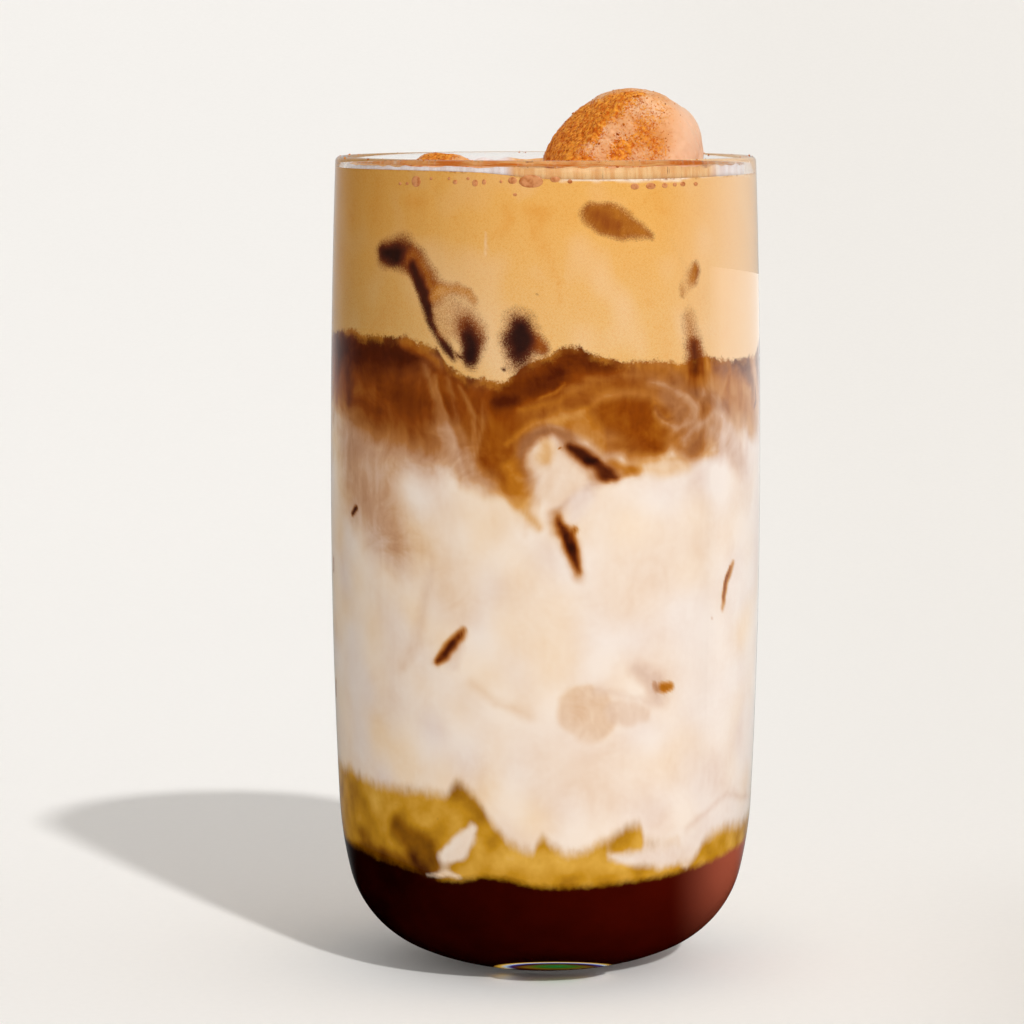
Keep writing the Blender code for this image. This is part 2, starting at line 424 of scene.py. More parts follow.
def lineHeight(name, azimuth):
    # the photo's line over the front, easing into the fixed part's ring at the sides and back
    spots = [wallSpot(px, py) for px, py in linesCard[name]]
    turns, heights = zip(*spots)
    front = np.interp(azimuth, turns, heights)
    node = {"foam": "coffee"}.get(name, name)
    share = smooth(74, 94, np.abs(azimuth))
    return front * (1 - share) + ringHeight(node, azimuth) * share


# What a stroke sets. coffee: 0 milk to 1 black coffee; warm: 0 mauve to 1 amber;
# spot: 1 where the drink shows through the foam; tone: -1 cream and painted highlight to 1 orange foam; murk:
# how dark the haze is;
# gold: millimetres inside the haze; strength: how much the stroke covers what is there

def coffeeMix(coffee, warm, strength):
    return {"coffee": coffee, "warm": warm, "strength": strength}


def foamSpot(spot, coffee, warm):
    return {"spot": spot, "coffee": coffee, "warm": warm}


def foamToneAndHighlight(tone):
    return {"tone": tone}


def hazeMurk(murk, strength):
    return {"murk": murk, "strength": strength}


def hazeWindow(gold, coffee, warm):
    return {"gold": gold, "coffee": coffee, "warm": warm}


# Strokes on the drink, one after another, in the photo's pixels.
# A stroke is a path of (x, y, half width), its softness, and what it sets.
coffeeStrokes = (
    # left: a dark pool that thins downwards into an olive brown, then a grey-tan cloud
    (((350, 440, 30), (385, 440, 34), (425, 455, 22)), 44, coffeeMix(0.36, 0.15, 0.9)),
    (((345, 385, 24), (380, 402, 36), (412, 415, 30), (440, 430, 20)), 46, coffeeMix(0.72, 0.8, 0.95)),
    (((340, 350, 16), (372, 354, 20), (412, 360, 15)), 44, coffeeMix(0.93, 0.6, 0.9)),
    (((346, 365, 7), (350, 385, 6), (348, 405, 3)), 16, coffeeMix(0.86, 0.4, 0.7)),
    (((385, 392, 12), (412, 400, 14), (436, 400, 10)), 30, coffeeMix(0.8, 0.85, 0.85)),
    (((405, 345, 5), (424, 352, 5), (436, 362, 4)), 8, coffeeMix(0.56, 1.0, 0.8)),
    # brown body that joins the left pool to the middle
    (((440, 385, 20), (470, 410, 26), (480, 440, 22), (484, 465, 12)), 26, coffeeMix(0.74, 0.9, 0.95)),
    (((440, 430, 14), (455, 455, 14), (470, 478, 10), (486, 488, 6)), 24, coffeeMix(0.46, 0.25, 0.75)),
    # pale tendrils that hang from the pool
    (((424, 366, 1.5), (430, 385, 3), (436, 410, 4), (446, 440, 4), (456, 468, 3), (462, 486, 2)),
     15, coffeeMix(0.34, 0.2, 0.58)),
    (((434, 374, 1), (438, 400, 1.5), (447, 430, 2), (458, 462, 2), (468, 486, 1.5)),
     8, coffeeMix(0.22, 0.1, 0.5)),
    (((447, 376, 1), (451, 398, 1.5), (456, 425, 2), (465, 455, 2), (470, 474, 1)),
     10, coffeeMix(0.38, 0.2, 0.5)),
    (((458, 386, 1), (466, 402, 1.5), (472, 416, 2), (471, 440, 2), (466, 462, 1)),
     8, coffeeMix(0.34, 0.25, 0.5)),
    (((484, 402, 1), (480, 428, 1.5), (474, 452, 2), (471, 474, 1.5)), 8, coffeeMix(0.3, 0.2, 0.54)),
    (((492, 385, 2), (488, 405, 2), (484, 420, 1)), 12, coffeeMix(0.42, 0.3, 0.43)),
    # amber wedge beside the sunk ice, with its tail
    (((512, 412, 24), (502, 436, 20), (500, 460, 17), (506, 482, 12), (516, 498, 6)),
     22, coffeeMix(0.7, 1.0, 0.95)),
    (((510, 468, 8), (514, 486, 8), (518, 500, 5)), 12, coffeeMix(0.46, 1.0, 0.85)),
    (((518, 506, 5), (526, 520, 4), (536, 530, 3)), 12, coffeeMix(0.3, 1.0, 0.8)),
    # brown over the whole right half
    (((530, 402, 22), (575, 392, 26), (620, 405, 30), (660, 420, 28), (700, 425, 24)),
     26, coffeeMix(0.64, 0.9, 0.95)),
    (((560, 425, 10), (590, 430, 14), (600, 445, 8)), 16, coffeeMix(0.5, 1.0, 0.85)),
    # dark middle
    (((500, 400, 16), (530, 385, 18), (560, 366, 16), (590, 366, 13), (620, 374, 9)),
     22, coffeeMix(0.8, 0.95, 0.95)),
    (((500, 402, 7), (516, 399, 6)), 13, coffeeMix(0.92, 0.85, 0.85)),
    (((534, 390, 8), (550, 382, 9), (562, 372, 5)), 16, coffeeMix(0.9, 0.9, 0.8)),
    (((574, 358, 7), (590, 364, 8), (606, 370, 5)), 14, coffeeMix(0.86, 0.9, 0.8)),
    (((640, 368, 8), (672, 372, 10), (700, 376, 8)), 18, coffeeMix(0.52, 0.85, 0.85)),
    # golden lines round the arc, and the olive band under them
    (((508, 446, 1.2), (520, 434, 2), (534, 425, 2.4), (562, 421, 2.4), (586, 411, 2), (600, 402, 1.6)),
     10, coffeeMix(0.3, 1.0, 0.61)),
    (((520, 412, 1), (540, 408, 1.5), (560, 402, 1.8), (575, 392, 1.5)), 10, coffeeMix(0.44, 1.0, 0.5)),
    (((540, 400, 1), (556, 392, 1.5), (566, 384, 1)), 4, coffeeMix(0.5, 1.0, 0.7)),
    # right pool
    (((612, 415, 16), (640, 425, 22), (652, 438, 16)), 22, coffeeMix(0.69, 1.0, 0.95)),
    (((616, 446, 9), (640, 452, 10), (660, 450, 7)), 18, coffeeMix(0.72, 1.0, 0.8)),
    (((680, 448, 8), (700, 446, 7), (716, 440, 5)), 14, coffeeMix(0.54, 0.8, 0.8)),
    (((608, 468, 6), (620, 474, 7), (634, 474, 5)), 9, coffeeMix(0.5, 1.0, 0.9)),
    (((627, 462, 4), (645, 466, 4), (668, 463, 4), (690, 460, 4), (716, 454, 2.5)),
     15, coffeeMix(0.4, 1.0, 0.61)),
    (((640, 474, 5), (660, 476, 6), (684, 470, 6)), 14, coffeeMix(0.2, 0.9, 0.7)),
    (((676, 392, 12), (692, 412, 16), (696, 436, 16), (690, 452, 12)), 24, coffeeMix(0.56, 0.35, 0.9)),
    (((712, 430, 10), (728, 448, 14), (742, 466, 12)), 26, coffeeMix(0.24, 0.0, 0.8)),
    (((655, 384, 6), (668, 392, 8)), 16, coffeeMix(0.56, 0.45, 0.8)),
    # tan wisps that curl over and round the pool
    (((570, 392, 2), (592, 381, 3), (618, 377, 3), (642, 377, 3), (662, 381, 2.5)),
     12, coffeeMix(0.46, 0.7, 0.5)),
    (((596, 402, 2), (606, 397, 3.5), (622, 394, 4), (648, 396, 4), (662, 402, 3)),
     13, coffeeMix(0.4, 0.6, 0.58)),
    (((594, 408, 1.5), (597, 420, 2), (600, 436, 2)), 10, coffeeMix(0.38, 0.8, 0.43)),
    (((668, 400, 8), (680, 410, 9), (678, 424, 7)), 16, coffeeMix(0.5, 0.25, 0.7)),
    (((650, 386, 1.5), (668, 388, 2), (686, 396, 2.5), (697, 409, 3), (694, 421, 3),
      (678, 429, 2.5), (664, 424, 2), (657, 413, 1.5)), 10, coffeeMix(0.28, 0.2, 0.61)),
    (((656, 408, 1), (660, 416, 1.5), (668, 422, 1.2), (676, 418, 1)), 3, coffeeMix(0.68, 0.6, 0.7)),
    (((672, 436, 2), (684, 426, 2), (694, 410, 2.2), (702, 394, 2.5), (708, 376, 2)),
     12, coffeeMix(0.34, 0.3, 0.54)),
    (((654, 364, 1), (668, 368, 2), (680, 382, 2), (688, 400, 2)), 10, coffeeMix(0.42, 0.5, 0.43)),
    (((684, 440, 2), (700, 424, 3), (714, 412, 4), (728, 424, 6), (735, 444, 7), (740, 462, 6)),
     16, coffeeMix(0.2, 0.0, 0.65)),
    (((706, 450, 2), (716, 432, 2), (722, 418, 1.5)), 8, coffeeMix(0.4, 0.4, 0.43)),
    # right edge: gold, a dark rod, a tan column and a dark sliver
    (((712, 380, 12), (732, 388, 18), (748, 400, 16), (752, 425, 12)), 22, coffeeMix(0.42, 0.75, 0.9)),
    (((704, 358, 5), (708, 368, 4)), 8, coffeeMix(0.4, 1.0, 0.8)),
    (((728, 366, 2.5), (727, 378, 2.5), (725, 390, 1.5)), 6, coffeeMix(0.56, 0.9, 0.8)),
    (((752, 352, 10), (756, 380, 10), (757, 412, 8)), 16, coffeeMix(0.3, 0.4, 0.85)),
    (((695, 358, 7), (696, 368, 6), (695, 380, 3)), 14, coffeeMix(0.9, 0.8, 0.9)),
    (((755, 385, 1), (756, 398, 2), (754, 408, 1)), 3, coffeeMix(0.95, 0.3, 0.8)),
    # sunk ice that shows pale, inside a mauve arc
    (((546, 462, 20), (560, 474, 22), (550, 492, 16)), 12, coffeeMix(0.1, 0.45, 0.97)),
    (((545, 446, 6), (540, 460, 7)), 12, coffeeMix(0.24, 1.0, 0.8)),
    (((520, 456, 3), (525, 445, 4.5), (537, 436, 5), (553, 433, 5), (568, 439, 5)),
     9, coffeeMix(0.6, 0.2, 0.85)),
    (((534, 432, 1), (552, 429, 1.2), (570, 434, 1)), 8, coffeeMix(0.34, 0.2, 0.43)),
    # dark gap at its right, in two lobes with a mauve haze round them
    (((566, 446, 8), (582, 458, 10), (598, 474, 11), (612, 480, 6)), 15, coffeeMix(0.46, 0.2, 0.85)),
    (((568, 448, 4), (578, 455, 6), (588, 462, 7), (593, 466, 4)), 10, coffeeMix(0.96, 0.5, 0.95)),
    (((584, 460, 3.5), (591, 463, 3.5)), 6, coffeeMix(1.0, 0.5, 1)),
    (((596, 470, 5), (603, 477, 7.5), (612, 481, 3)), 9, coffeeMix(0.9, 0.55, 0.95)),
    (((557, 448, 1.2), (557.3, 448.3, 1.2)), 2, coffeeMix(0.8, 0.7, 0.9)),
)

milkStrokes = (
    # greyer milk on the left, with warmer patches
    (((350, 480, 24), (375, 505, 34), (395, 550, 24)), 50, coffeeMix(0.35, 0.15, 0.85)),
    (((380, 600, 14), (392, 640, 18), (390, 700, 12)), 44, coffeeMix(0.12, 0.15, 0.6)),
    (((430, 555, 26), (450, 600, 22)), 50, coffeeMix(0.13, 0.6, 0.8)),
    (((352, 640, 18), (358, 745, 18)), 40, coffeeMix(0.02, 0.1, 0.9)),
    (((412, 535, 8), (418, 550, 9)), 16, coffeeMix(0.17, 0.75, 0.7)),
    (((430, 575, 4), (424, 608, 6), (414, 640, 6), (400, 665, 4)), 16, coffeeMix(0.15, 0.3, 0.7)),
    (((355, 511, 9), (357, 512, 9)), 16, coffeeMix(0.30, 0.0, 0.7)),
    (((353, 513, 2.5), (357, 510, 3)), 4, coffeeMix(0.97, 0.1, 0.95)),
    # dark gap between two sunk ices
    (((550, 518, 5), (560, 506, 7), (574, 496, 8), (590, 486, 6)), 18, coffeeMix(0.3, 0.0, 0.85)),
    (((553, 518, 5), (560, 532, 8), (569, 546, 9), (575, 562, 7), (579, 576, 4)),
     13, coffeeMix(0.42, 0.5, 0.8)),
    (((555, 520, 2), (561, 532, 4.5), (568, 543, 6.5), (573, 556, 5), (578, 572, 2)),
     10, coffeeMix(0.92, 0.75, 0.95)),
    (((567, 540, 4), (571, 550, 4)), 6, coffeeMix(1.0, 0.7, 1.0)),
    (((574, 532, 3), (571, 542, 3)), 7, coffeeMix(0.8, 0.85, 0.8)),
    (((578, 500, 12), (572, 520, 6)), 16, coffeeMix(0.08, 0.0, 0.8)),
    # brown slot
    (((436, 661, 4), (450, 648, 7), (464, 633, 4)), 10, coffeeMix(0.42, 0.4, 0.7)),
    (((437, 660, 2.5), (444, 654, 5), (452, 645, 5.5), (460, 637, 3.5), (465, 631, 1)),
     9, coffeeMix(0.9, 0.75, 1.0)),
    (((445, 653, 2.5), (454, 643, 3)), 5, coffeeMix(0.98, 0.6, 0.9)),
    (((452, 662, 8), (462, 648, 6)), 14, coffeeMix(0.14, 0.0, 0.6)),
    # amber bead in a mauve haze
    (((640, 668, 8), (655, 680, 12), (658, 700, 8)), 20, coffeeMix(0.24, 0.0, 0.75)),
    (((664, 687, 6), (670, 686, 5)), 5, coffeeMix(0.55, 1.0, 1.0)),
    (((656, 682, 2), (658, 690, 2)), 4, coffeeMix(0.55, 0.1, 0.6)),
    # peach disc of ice against the glass
    (((585, 712, 26), (592, 716, 26)), 9, coffeeMix(0.20, 0.45, 0.85)),
    (((618, 713, 12), (632, 716, 12), (642, 716, 8)), 9, coffeeMix(0.16, 0.25, 0.8)),
    (((600, 690, 3), (625, 695, 4), (650, 704, 4)), 14, coffeeMix(0.22, 0.0, 0.5)),
    # faint streaks and slivers
    (((473, 686, 3), (495, 705, 4), (530, 718, 4)), 14, coffeeMix(0.2, 0.5, 0.5)),
    (((736, 562, 1.5), (730, 578, 3), (725, 594, 3.2), (723, 608, 1.5)), 5, coffeeMix(0.6, 1.0, 0.9)),
    (((733, 566, 1), (727, 584, 1.4), (724, 598, 1)), 3, coffeeMix(0.86, 0.7, 0.9)),
    (((711, 614, 0.8), (711.4, 616, 0.8)), 1.5, coffeeMix(0.9, 0.3, 0.9)),
    (((334, 556, 2), (334, 572, 2)), 3, coffeeMix(0.9, 0.2, 0.9)),
    (((338, 690, 2), (338, 705, 2)), 3, coffeeMix(0.85, 0.2, 0.9)),
    (((615, 600, 30), (650, 560, 26)), 50, coffeeMix(0.07, 0.4, 0.8)),
    (((705, 640, 34), (715, 720, 34)), 60, coffeeMix(0.01, 0.0, 0.85)),
    (((540, 620, 30), (560, 660, 26)), 50, coffeeMix(0.06, 0.9, 0.7)),
    (((690, 760, 20), (720, 780, 16)), 40, coffeeMix(0.10, 0.1, 0.7)),
    (((560, 770, 40), (640, 790, 26)), 50, coffeeMix(0.08, 0.35, 0.7)),
)

foamStrokes = (
    # pinkish cream round the dark spots
    (((430, 286, 26), (480, 330, 30), (500, 362, 20)), 60, foamToneAndHighlight(-0.2)),
    # upper left dark spot, brown towards its right, and the streak that runs down from it
    (((386, 255, 12), (402, 254, 16), (414, 262, 11)), 24, foamSpot(0.72, 0.74, 0.95)),
    (((386, 254, 8), (396, 256, 11), (406, 257, 8)), 16, foamSpot(1.0, 1.0, 0.75)),
    (((411, 262, 10), (422, 276, 11), (433, 291, 11), (440, 304, 7)), 20, foamSpot(0.8, 0.64, 1.0)),
    (((411, 268, 5), (416, 282, 6.5), (423, 298, 7), (427, 312, 5.5), (433, 326, 4.5),
      (441, 339, 4.5), (449, 350, 4.5), (454, 357, 3)), 11, foamSpot(1.0, 0.97, 0.75)),
    (((432, 297, 5), (444, 291, 5), (458, 291, 5), (470, 295, 5.5), (477, 303, 4)),
     11, foamSpot(0.62, 0.46, 1.0)),
    # ice behind the foam, with a dark crescent beside it
    (((447, 314, 15), (452, 324, 17)), 14, foamSpot(0.34, 0.56, 0.75)),
    (((458, 308, 8), (472, 316, 9), (482, 330, 8)), 24, foamSpot(0.42, 0.5, 0.3)),
    (((467, 326, 9), (475, 342, 12), (472, 358, 8)), 20, foamSpot(0.85, 0.85, 0.85)),
    (((469, 337, 6), (472, 348, 8), (471, 358, 6)), 12, foamSpot(1.0, 1.0, 0.75)),
    # round dark hole with an amber lobe
    (((522, 326, 13), (522, 344, 18), (519, 360, 12)), 26, foamSpot(0.62, 0.74, 0.7)),
    (((535, 345, 7), (541, 350, 6)), 11, foamSpot(0.86, 0.66, 1.0)),
    (((521, 331, 8), (521, 342, 12), (520, 352, 9)), 14, foamSpot(1.0, 1.0, 0.7)),
    # amber pools
    (((592, 217, 11), (606, 222, 16), (622, 227, 15), (638, 231, 9), (650, 237, 3)),
     13, foamSpot(0.8, 0.55, 1.0)),
    (((598, 220, 8), (612, 227, 9)), 16, foamSpot(0.95, 0.7, 1.0)),
    (((697, 267, 5), (693, 276, 7), (686, 287, 5), (684, 293, 2)), 14, foamSpot(0.95, 0.5, 1.0)),
    (((668, 240, 3), (680, 250, 5), (686, 270, 6), (690, 296, 4), (694, 320, 3)),
     22, foamSpot(0.2, 0.4, 0.4)),
    (((689, 316, 6), (692, 336, 9), (695, 352, 11), (696, 374, 11)), 24, foamSpot(0.6, 0.58, 0.9)),
    (((694, 344, 5), (696, 356, 7), (696, 370, 6)), 16, foamSpot(1.0, 0.88, 0.85)),
    # small dots
    (((504, 368, 1.6), (504.3, 368.3, 1.6)), 3, foamSpot(1.0, 0.95, 0.6)),
    (((458.6, 355, 1.2), (462.6, 357, 1.4)), 3, foamSpot(0.9, 0.9, 0.6)),
    (((539, 300, 1), (539.3, 300.3, 1)), 2, foamSpot(0.6, 0.6, 0.9)),
    # orange patches, then painted highlights: a faint upright line, and the pale line under the edge of the
    # foam
    (((408, 206, 6), (424, 205, 5)), 16, foamToneAndHighlight(0.3)),
    (((506, 206, 5), (510, 220, 6), (505, 230, 4)), 16, foamToneAndHighlight(0.35)),
    (((530, 210, 7), (544, 216, 8), (540, 230, 5)), 18, foamToneAndHighlight(0.4)),
    (((541, 231, 2), (550, 256, 3), (558, 276, 3), (561, 304, 2)), 14, foamToneAndHighlight(0.22)),
    (((655, 196, 6), (664, 210, 6)), 16, foamToneAndHighlight(0.25)),
    (((486, 233, 0.8), (486.5, 246, 1.2), (486, 258, 0.8)), 3, foamToneAndHighlight(-0.3)),
    (((560, 182, 1), (600, 181.5, 1.4), (650, 180.5, 1.6), (700, 178.5, 1.4), (750, 176, 1)),
     2.2, foamToneAndHighlight(-1.0)),
)

hazeStrokes = (
    # darker patches
    (((352, 792, 6), (356, 825, 8), (368, 842, 8)), 26, hazeMurk(0.72, 0.8)),
    (((350, 845, 5), (375, 854, 7), (400, 860, 8), (425, 868, 7)), 14, hazeMurk(0.97, 0.85)),
    (((400, 826, 11), (414, 838, 13), (428, 846, 12), (434, 862, 8)), 24, hazeMurk(0.9, 0.9)),
    (((418, 856, 8), (430, 872, 7), (438, 884, 4)), 14, hazeMurk(1.0, 0.9)),
    (((455, 790, 6), (466, 802, 8), (480, 816, 6)), 16, hazeMurk(0.72, 0.75)),
    (((380, 796, 10), (410, 800, 10), (436, 804, 8)), 24, hazeMurk(0.42, 0.7)),
    (((500, 850, 10), (540, 862, 9), (590, 864, 9), (625, 862, 7)), 20, hazeMurk(0.30, 0.8)),
    (((720, 832, 8), (736, 828, 6)), 14, hazeMurk(0.40, 0.7)),
    # pinkish white patch over a thin yellow band
    (((612, 856, 4), (634, 855, 10), (662, 853, 13), (684, 852, 10)), 24, hazeWindow(-0.9, 0.07, 0.15)),
    # white window with its foot
    (((445, 858, 8), (456, 850, 11), (465, 838, 10), (469, 830, 6)), 20, hazeWindow(-1.6, 0.03, 0.5)),
    (((428, 872, 2), (445, 872, 4), (459, 878, 2)), 11, hazeWindow(-1.6, 0.1, 0.8)),
    (((690, 830, 2), (710, 815, 3), (728, 800, 3), (750, 803, 2)), 12, coffeeMix(0.2, 0.1, 0.6)),
)

paintCard = {
    "pixelsPerMm": 5.8,
    "wallRadius": 35.4 * mm,
    "warp": 0.35,        # mm that strokes wander at the front
    "backWarp": 3.2,     # mm that the same strokes wander round the back, so that it isn't a mirror image
    "shiver": 0.12,      # mm that their edges tremble
}


def strokeShare(u, v, path, soft):
    # 1 inside the stroke and 0 outside, all in mm on the unrolled wall
    scale = paintCard["pixelsPerMm"]
    reach = paintCard["wallRadius"] / mm
    spots = []
    for px, py, halfWidth in path:
        azimuth, height = wallSpot(px, py)
        spots.append((math.radians(azimuth) * reach, height / mm, halfWidth / scale))
    us, vs, widths = (np.array(row) for row in zip(*spots))
    half = soft / scale / 2
    reach = widths.max() + half
    beside = (u > us.min() - reach) & (u < us.max() + reach)
    level = (v > vs.min() - reach) & (v < vs.max() + reach)
    near = np.flatnonzero(beside & level)
    nu, nv = u[near], v[near]
    nearest = np.full(len(near), 1e3)
    for (u0, v0, w0), (u1, v1, w1) in zip(spots, spots[1:]):
        du, dv = u1 - u0, v1 - v0
        along = np.clip(((nu - u0) * du + (nv - v0) * dv) / (du * du + dv * dv), 0, 1)
        away = np.hypot(nu - u0 - along * du, nv - v0 - along * dv) - (w0 + (w1 - w0) * along)
        nearest = np.minimum(nearest, away)
    return near, 1 - smooth(-half, half, nearest)


allStrokes = milkStrokes + coffeeStrokes + foamStrokes + hazeStrokes


def paintDrink(mesh, points):
    azimuth = np.degrees(np.arctan2(points[:, 0], -points[:, 1]))
    v = points[:, 2] / mm
    atWall = np.hypot(points[:, 0], points[:, 1]) > bowlRadius(points[:, 2]) - 2 * mm
    folded = np.where(np.abs(azimuth) > 90, np.sign(azimuth) * (180 - np.abs(azimuth)), azimuth)
    u = np.radians(folded) * paintCard["wallRadius"] / mm
    behind = smooth(70, 125, np.abs(azimuth))
    wander = paintCard["warp"] + (paintCard["backWarp"] - paintCard["warp"]) * behind
    small = paintCard["shiver"]
    su = u + wander * waves(points, 24 * mm, 3) + small * waves(points, 3 * mm, 5)
    sv = v + wander * waves(points, 26 * mm, 4) + small * waves(points, 3 * mm, 6)

    lines = {name: lineHeight(name, azimuth) / mm for name in linesCard}
    fields = {
        "foam": v - lines["foam"],
        "gold": np.clip(lines["haze"] - v, -4, 4),
        "syrup": lines["syrup"] - v,
    }
    # coffee thins downwards into the milk, in wisps
    wisps = waves(points * (1, 1, 0.5), 6 * mm, 7) * 0.5 + waves(points * (1, 1, 0.6), 2.5 * mm, 8) * 0.25
    share = (v - lines["milk"]) / np.maximum(lines["foam"] - lines["milk"], 1)
    fields["coffee"] = np.clip(smooth(-0.15, 0.95, share + 0.12 * wisps) * 0.75, 0.03, 1)
    fields["spot"] = np.zeros(len(points))
    fields["tone"] = 0.05 * waves(points, 8 * mm, 13)
    fields["warm"] = np.clip(0.42 - 0.007 * u + 0.2 * waves(points, 12 * mm, 9), 0, 1)
    fields["coffee"] += 0.02 * waves(points, 9 * mm, 10) * (share < 0)
    fields["murk"] = 0.48 + 0.06 * waves(points, 6 * mm, 11)
    for path, soft, values in allStrokes:
        near, share = strokeShare(su, sv, path, soft)
        share *= values.get("strength", 1.0)
        if "gold" in values or "tone" in values:
            share *= (1 - smooth(78, 95, np.abs(azimuth[near]))) * atWall[near]
        for name in ("gold", "murk", "coffee", "warm", "spot", "tone"):
            if name in values:
                fields[name][near] += (values[name] - fields[name][near]) * share
    for name, values in fields.items():
        paintField(mesh, name, np.clip(values, -4, 4))


# One colour group for all five layers
colourCard = {
    "coolStops": ((0.0, srgb(245, 232, 222)), (0.12, srgb(231, 208, 194)), (0.3, srgb(204, 164, 138)),
                  (0.5, srgb(168, 116, 80)), (0.72, srgb(118, 64, 32)), (0.88, srgb(72, 28, 8)),
                  (1.0, srgb(36, 10, 4))),
    "warmStops": ((0.0, srgb(249, 227, 202)), (0.12, srgb(240, 205, 160)), (0.3, srgb(218, 158, 80)),
                  (0.5, srgb(186, 112, 22)), (0.72, srgb(140, 64, 0)), (0.88, srgb(86, 28, 0)),
                  (1.0, srgb(40, 8, 0))),
    "hazeStops": ((0.0, srgb(240, 206, 140)), (0.3, srgb(224, 172, 72)), (0.5, srgb(198, 142, 30)),
                  (0.75, srgb(146, 92, 6)), (1.0, srgb(78, 34, 0))),
    "foamLower": srgb(236, 188, 120),
    "foamUpper": srgb(239, 180, 96),
    "foamPaintedShade": (0.76, 0.71, 0.53, 1),
    "foamPaintedLight": srgb(246, 212, 174),
    "foamOrange": srgb(226, 142, 28),
    "foamCreamAndHighlight": srgb(255, 240, 220),
    "fringe": srgb(206, 134, 44),
    "syrup": srgb(66, 9, 2),
    "syrupPaintedShade": srgb(16, 1, 0),
    "syrupPaintedGlow": srgb(214, 112, 84),
}


def makeDrinkGroup(card):
    tree = bpy.data.node_groups.new("drinkColour", "ShaderNodeTree")
    panel = tree.interface
    for name, value in (("Foam Raggedness", 1.9), ("Haze Raggedness", 2.0)):
        panel.new_socket(name, in_out="INPUT", socket_type="NodeSocketFloat").default_value = value
    panel.new_socket("Colour", in_out="OUTPUT", socket_type="NodeSocketColor")
    inlet = tree.nodes.new("NodeGroupInput")
    outlet = tree.nodes.new("NodeGroupOutput")
    where, place = objectPlace(tree)
    field = {name: attribute(tree, name)
             for name in ("foam", "gold", "murk", "syrup", "coffee", "warm", "spot", "tone")}

    def ripple(amount, base, grain, detail, rough=0.5, warp=0.0, across=where):
        # a shift of the base by a noise that is 0 on average
        shift = sums(tree, "SUBTRACT", noise(tree, across, grain, detail, rough, warp), 0.5)
        return sums(tree, "MULTIPLY_ADD", shift, amount, base)

    # coffee and milk: where they mix, threads and swirls show
    milkShare = sums(tree, "SUBTRACT", 1.0, field["coffee"], clamp=True)
    mixing = times(tree, times(tree, field["coffee"], 4.0), milkShare)
    hanging = stretched(tree, where, (1, 1, 0.2))
    threads = times(tree, ripple(0.22, 0.0, 2.4 * mm, 3, 0.5, 0.5, hanging), mixing)
    swirls = times(tree, ripple(0.34, 0.0, 9 * mm, 4, 0.55, 2.6), mixing)
    clouds = ripple(0.1, 0.0, 11 * mm, 3, 0.5, 1.0)
    fine = ripple(0.05, field["coffee"], 1.0 * mm, 4, 0.6, 0.4)
    stirred = sums(tree, "ADD", sums(tree, "ADD", threads, swirls), sums(tree, "ADD", clouds, fine))
    cool = ramp(tree, stirred, card["coolStops"])
    drink = mixColour(tree, field["warm"], cool, ramp(tree, stirred, card["warmStops"]))
    # golden haze, softly mottled, with a thin bright edge and a few dark pores
    mottled = ripple(0.4, ripple(0.06, field["murk"], 0.8 * mm, 3), 4 * mm, 3)
    haze = ramp(tree, mottled, card["hazeStops"])
    ragged = ripple(1.0, 0.0, 1.5 * mm, 4, 0.6, across=stretched(tree, where, (1, 1, 0.4)))
    edge = sums(tree, "MULTIPLY_ADD", ragged, inlet.outputs["Haze Raggedness"], field["gold"])
    inHaze = stepUp(tree, edge, -0.9, 2.4)
    drink = mixColour(tree, inHaze, drink, haze)
    pores = stepUp(tree, noise(tree, where, 0.6 * mm, 1), 0.8, 0.86)
    drink = mixColour(tree, times(tree, pores, times(tree, inHaze, 0.7)), drink, card["syrup"])
    # syrup: painted shade makes it darkest on the left, and a painted red-brown glow of light through it
    # shows at the right
    inSyrup = stepUp(tree, sums(tree, "ADD", field["syrup"], ripple(1.3, 0.0, 1.5 * mm, 4, 0.7)), -0.9, 0.8)
    lit = put(tree, "MapRange", {"Value": place["X"], "From Min": -32 * mm, "From Max": 20 * mm})
    syrup = mixColour(tree, ripple(0.5, lit.outputs["Result"], 7 * mm, 3), card["syrupPaintedShade"], card["syrup"])
    # painted light: the key's red-brown glow through the syrup's right edge
    glow = times(tree, stepUp(tree, place["X"], 20 * mm, 36 * mm), stepUp(tree, place["Y"], 8 * mm, -5 * mm))
    syrup = mixColour(tree, times(tree, glow, 0.8), syrup, card["syrupPaintedGlow"])
    drink = mixColour(tree, inSyrup, drink, syrup)
    # foam: more orange above, with painted shade darkening the left towards olive, and painted light turning
    # the right paler peach
    higher = stepUp(tree, place["Z"], 108 * mm, 134 * mm)
    foam = mixColour(tree, higher, card["foamLower"], card["foamUpper"])
    mottle = stepUp(tree, noise(tree, where, 3.2 * mm, 6, 0.7, 0.6), 0.46, 0.74)
    orange = sums(tree, "MULTIPLY_ADD", mottle, 0.2, sums(tree, "SUBTRACT", field["tone"], 0.05), clamp=True)
    foam = mixColour(tree, orange, foam, card["foamOrange"])
    speckle = stepUp(tree, noise(tree, where, 0.3 * mm, 3, 0.7), 0.42, 0.72)
    foam = mixColour(tree, times(tree, speckle, 0.42), foam, card["foamOrange"])
    # negative tone paints the foam paler: cream for a little, a painted highlight near -1
    foam = mixColour(tree, times(tree, field["tone"], -1.0, clamp=True), foam, card["foamCreamAndHighlight"])
    # painted shade: the left of the foam is multiplied darker, with a streaky edge
    paintedShadeReach = ripple(-4.5 * mm, place["X"], 2.2 * mm, 2, across=stretched(tree, where, (1, 1, 0.06)))
    foam = mixColour(tree, stepUp(tree, paintedShadeReach, -4 * mm, -33 * mm), foam, card["foamPaintedShade"], "MULTIPLY")
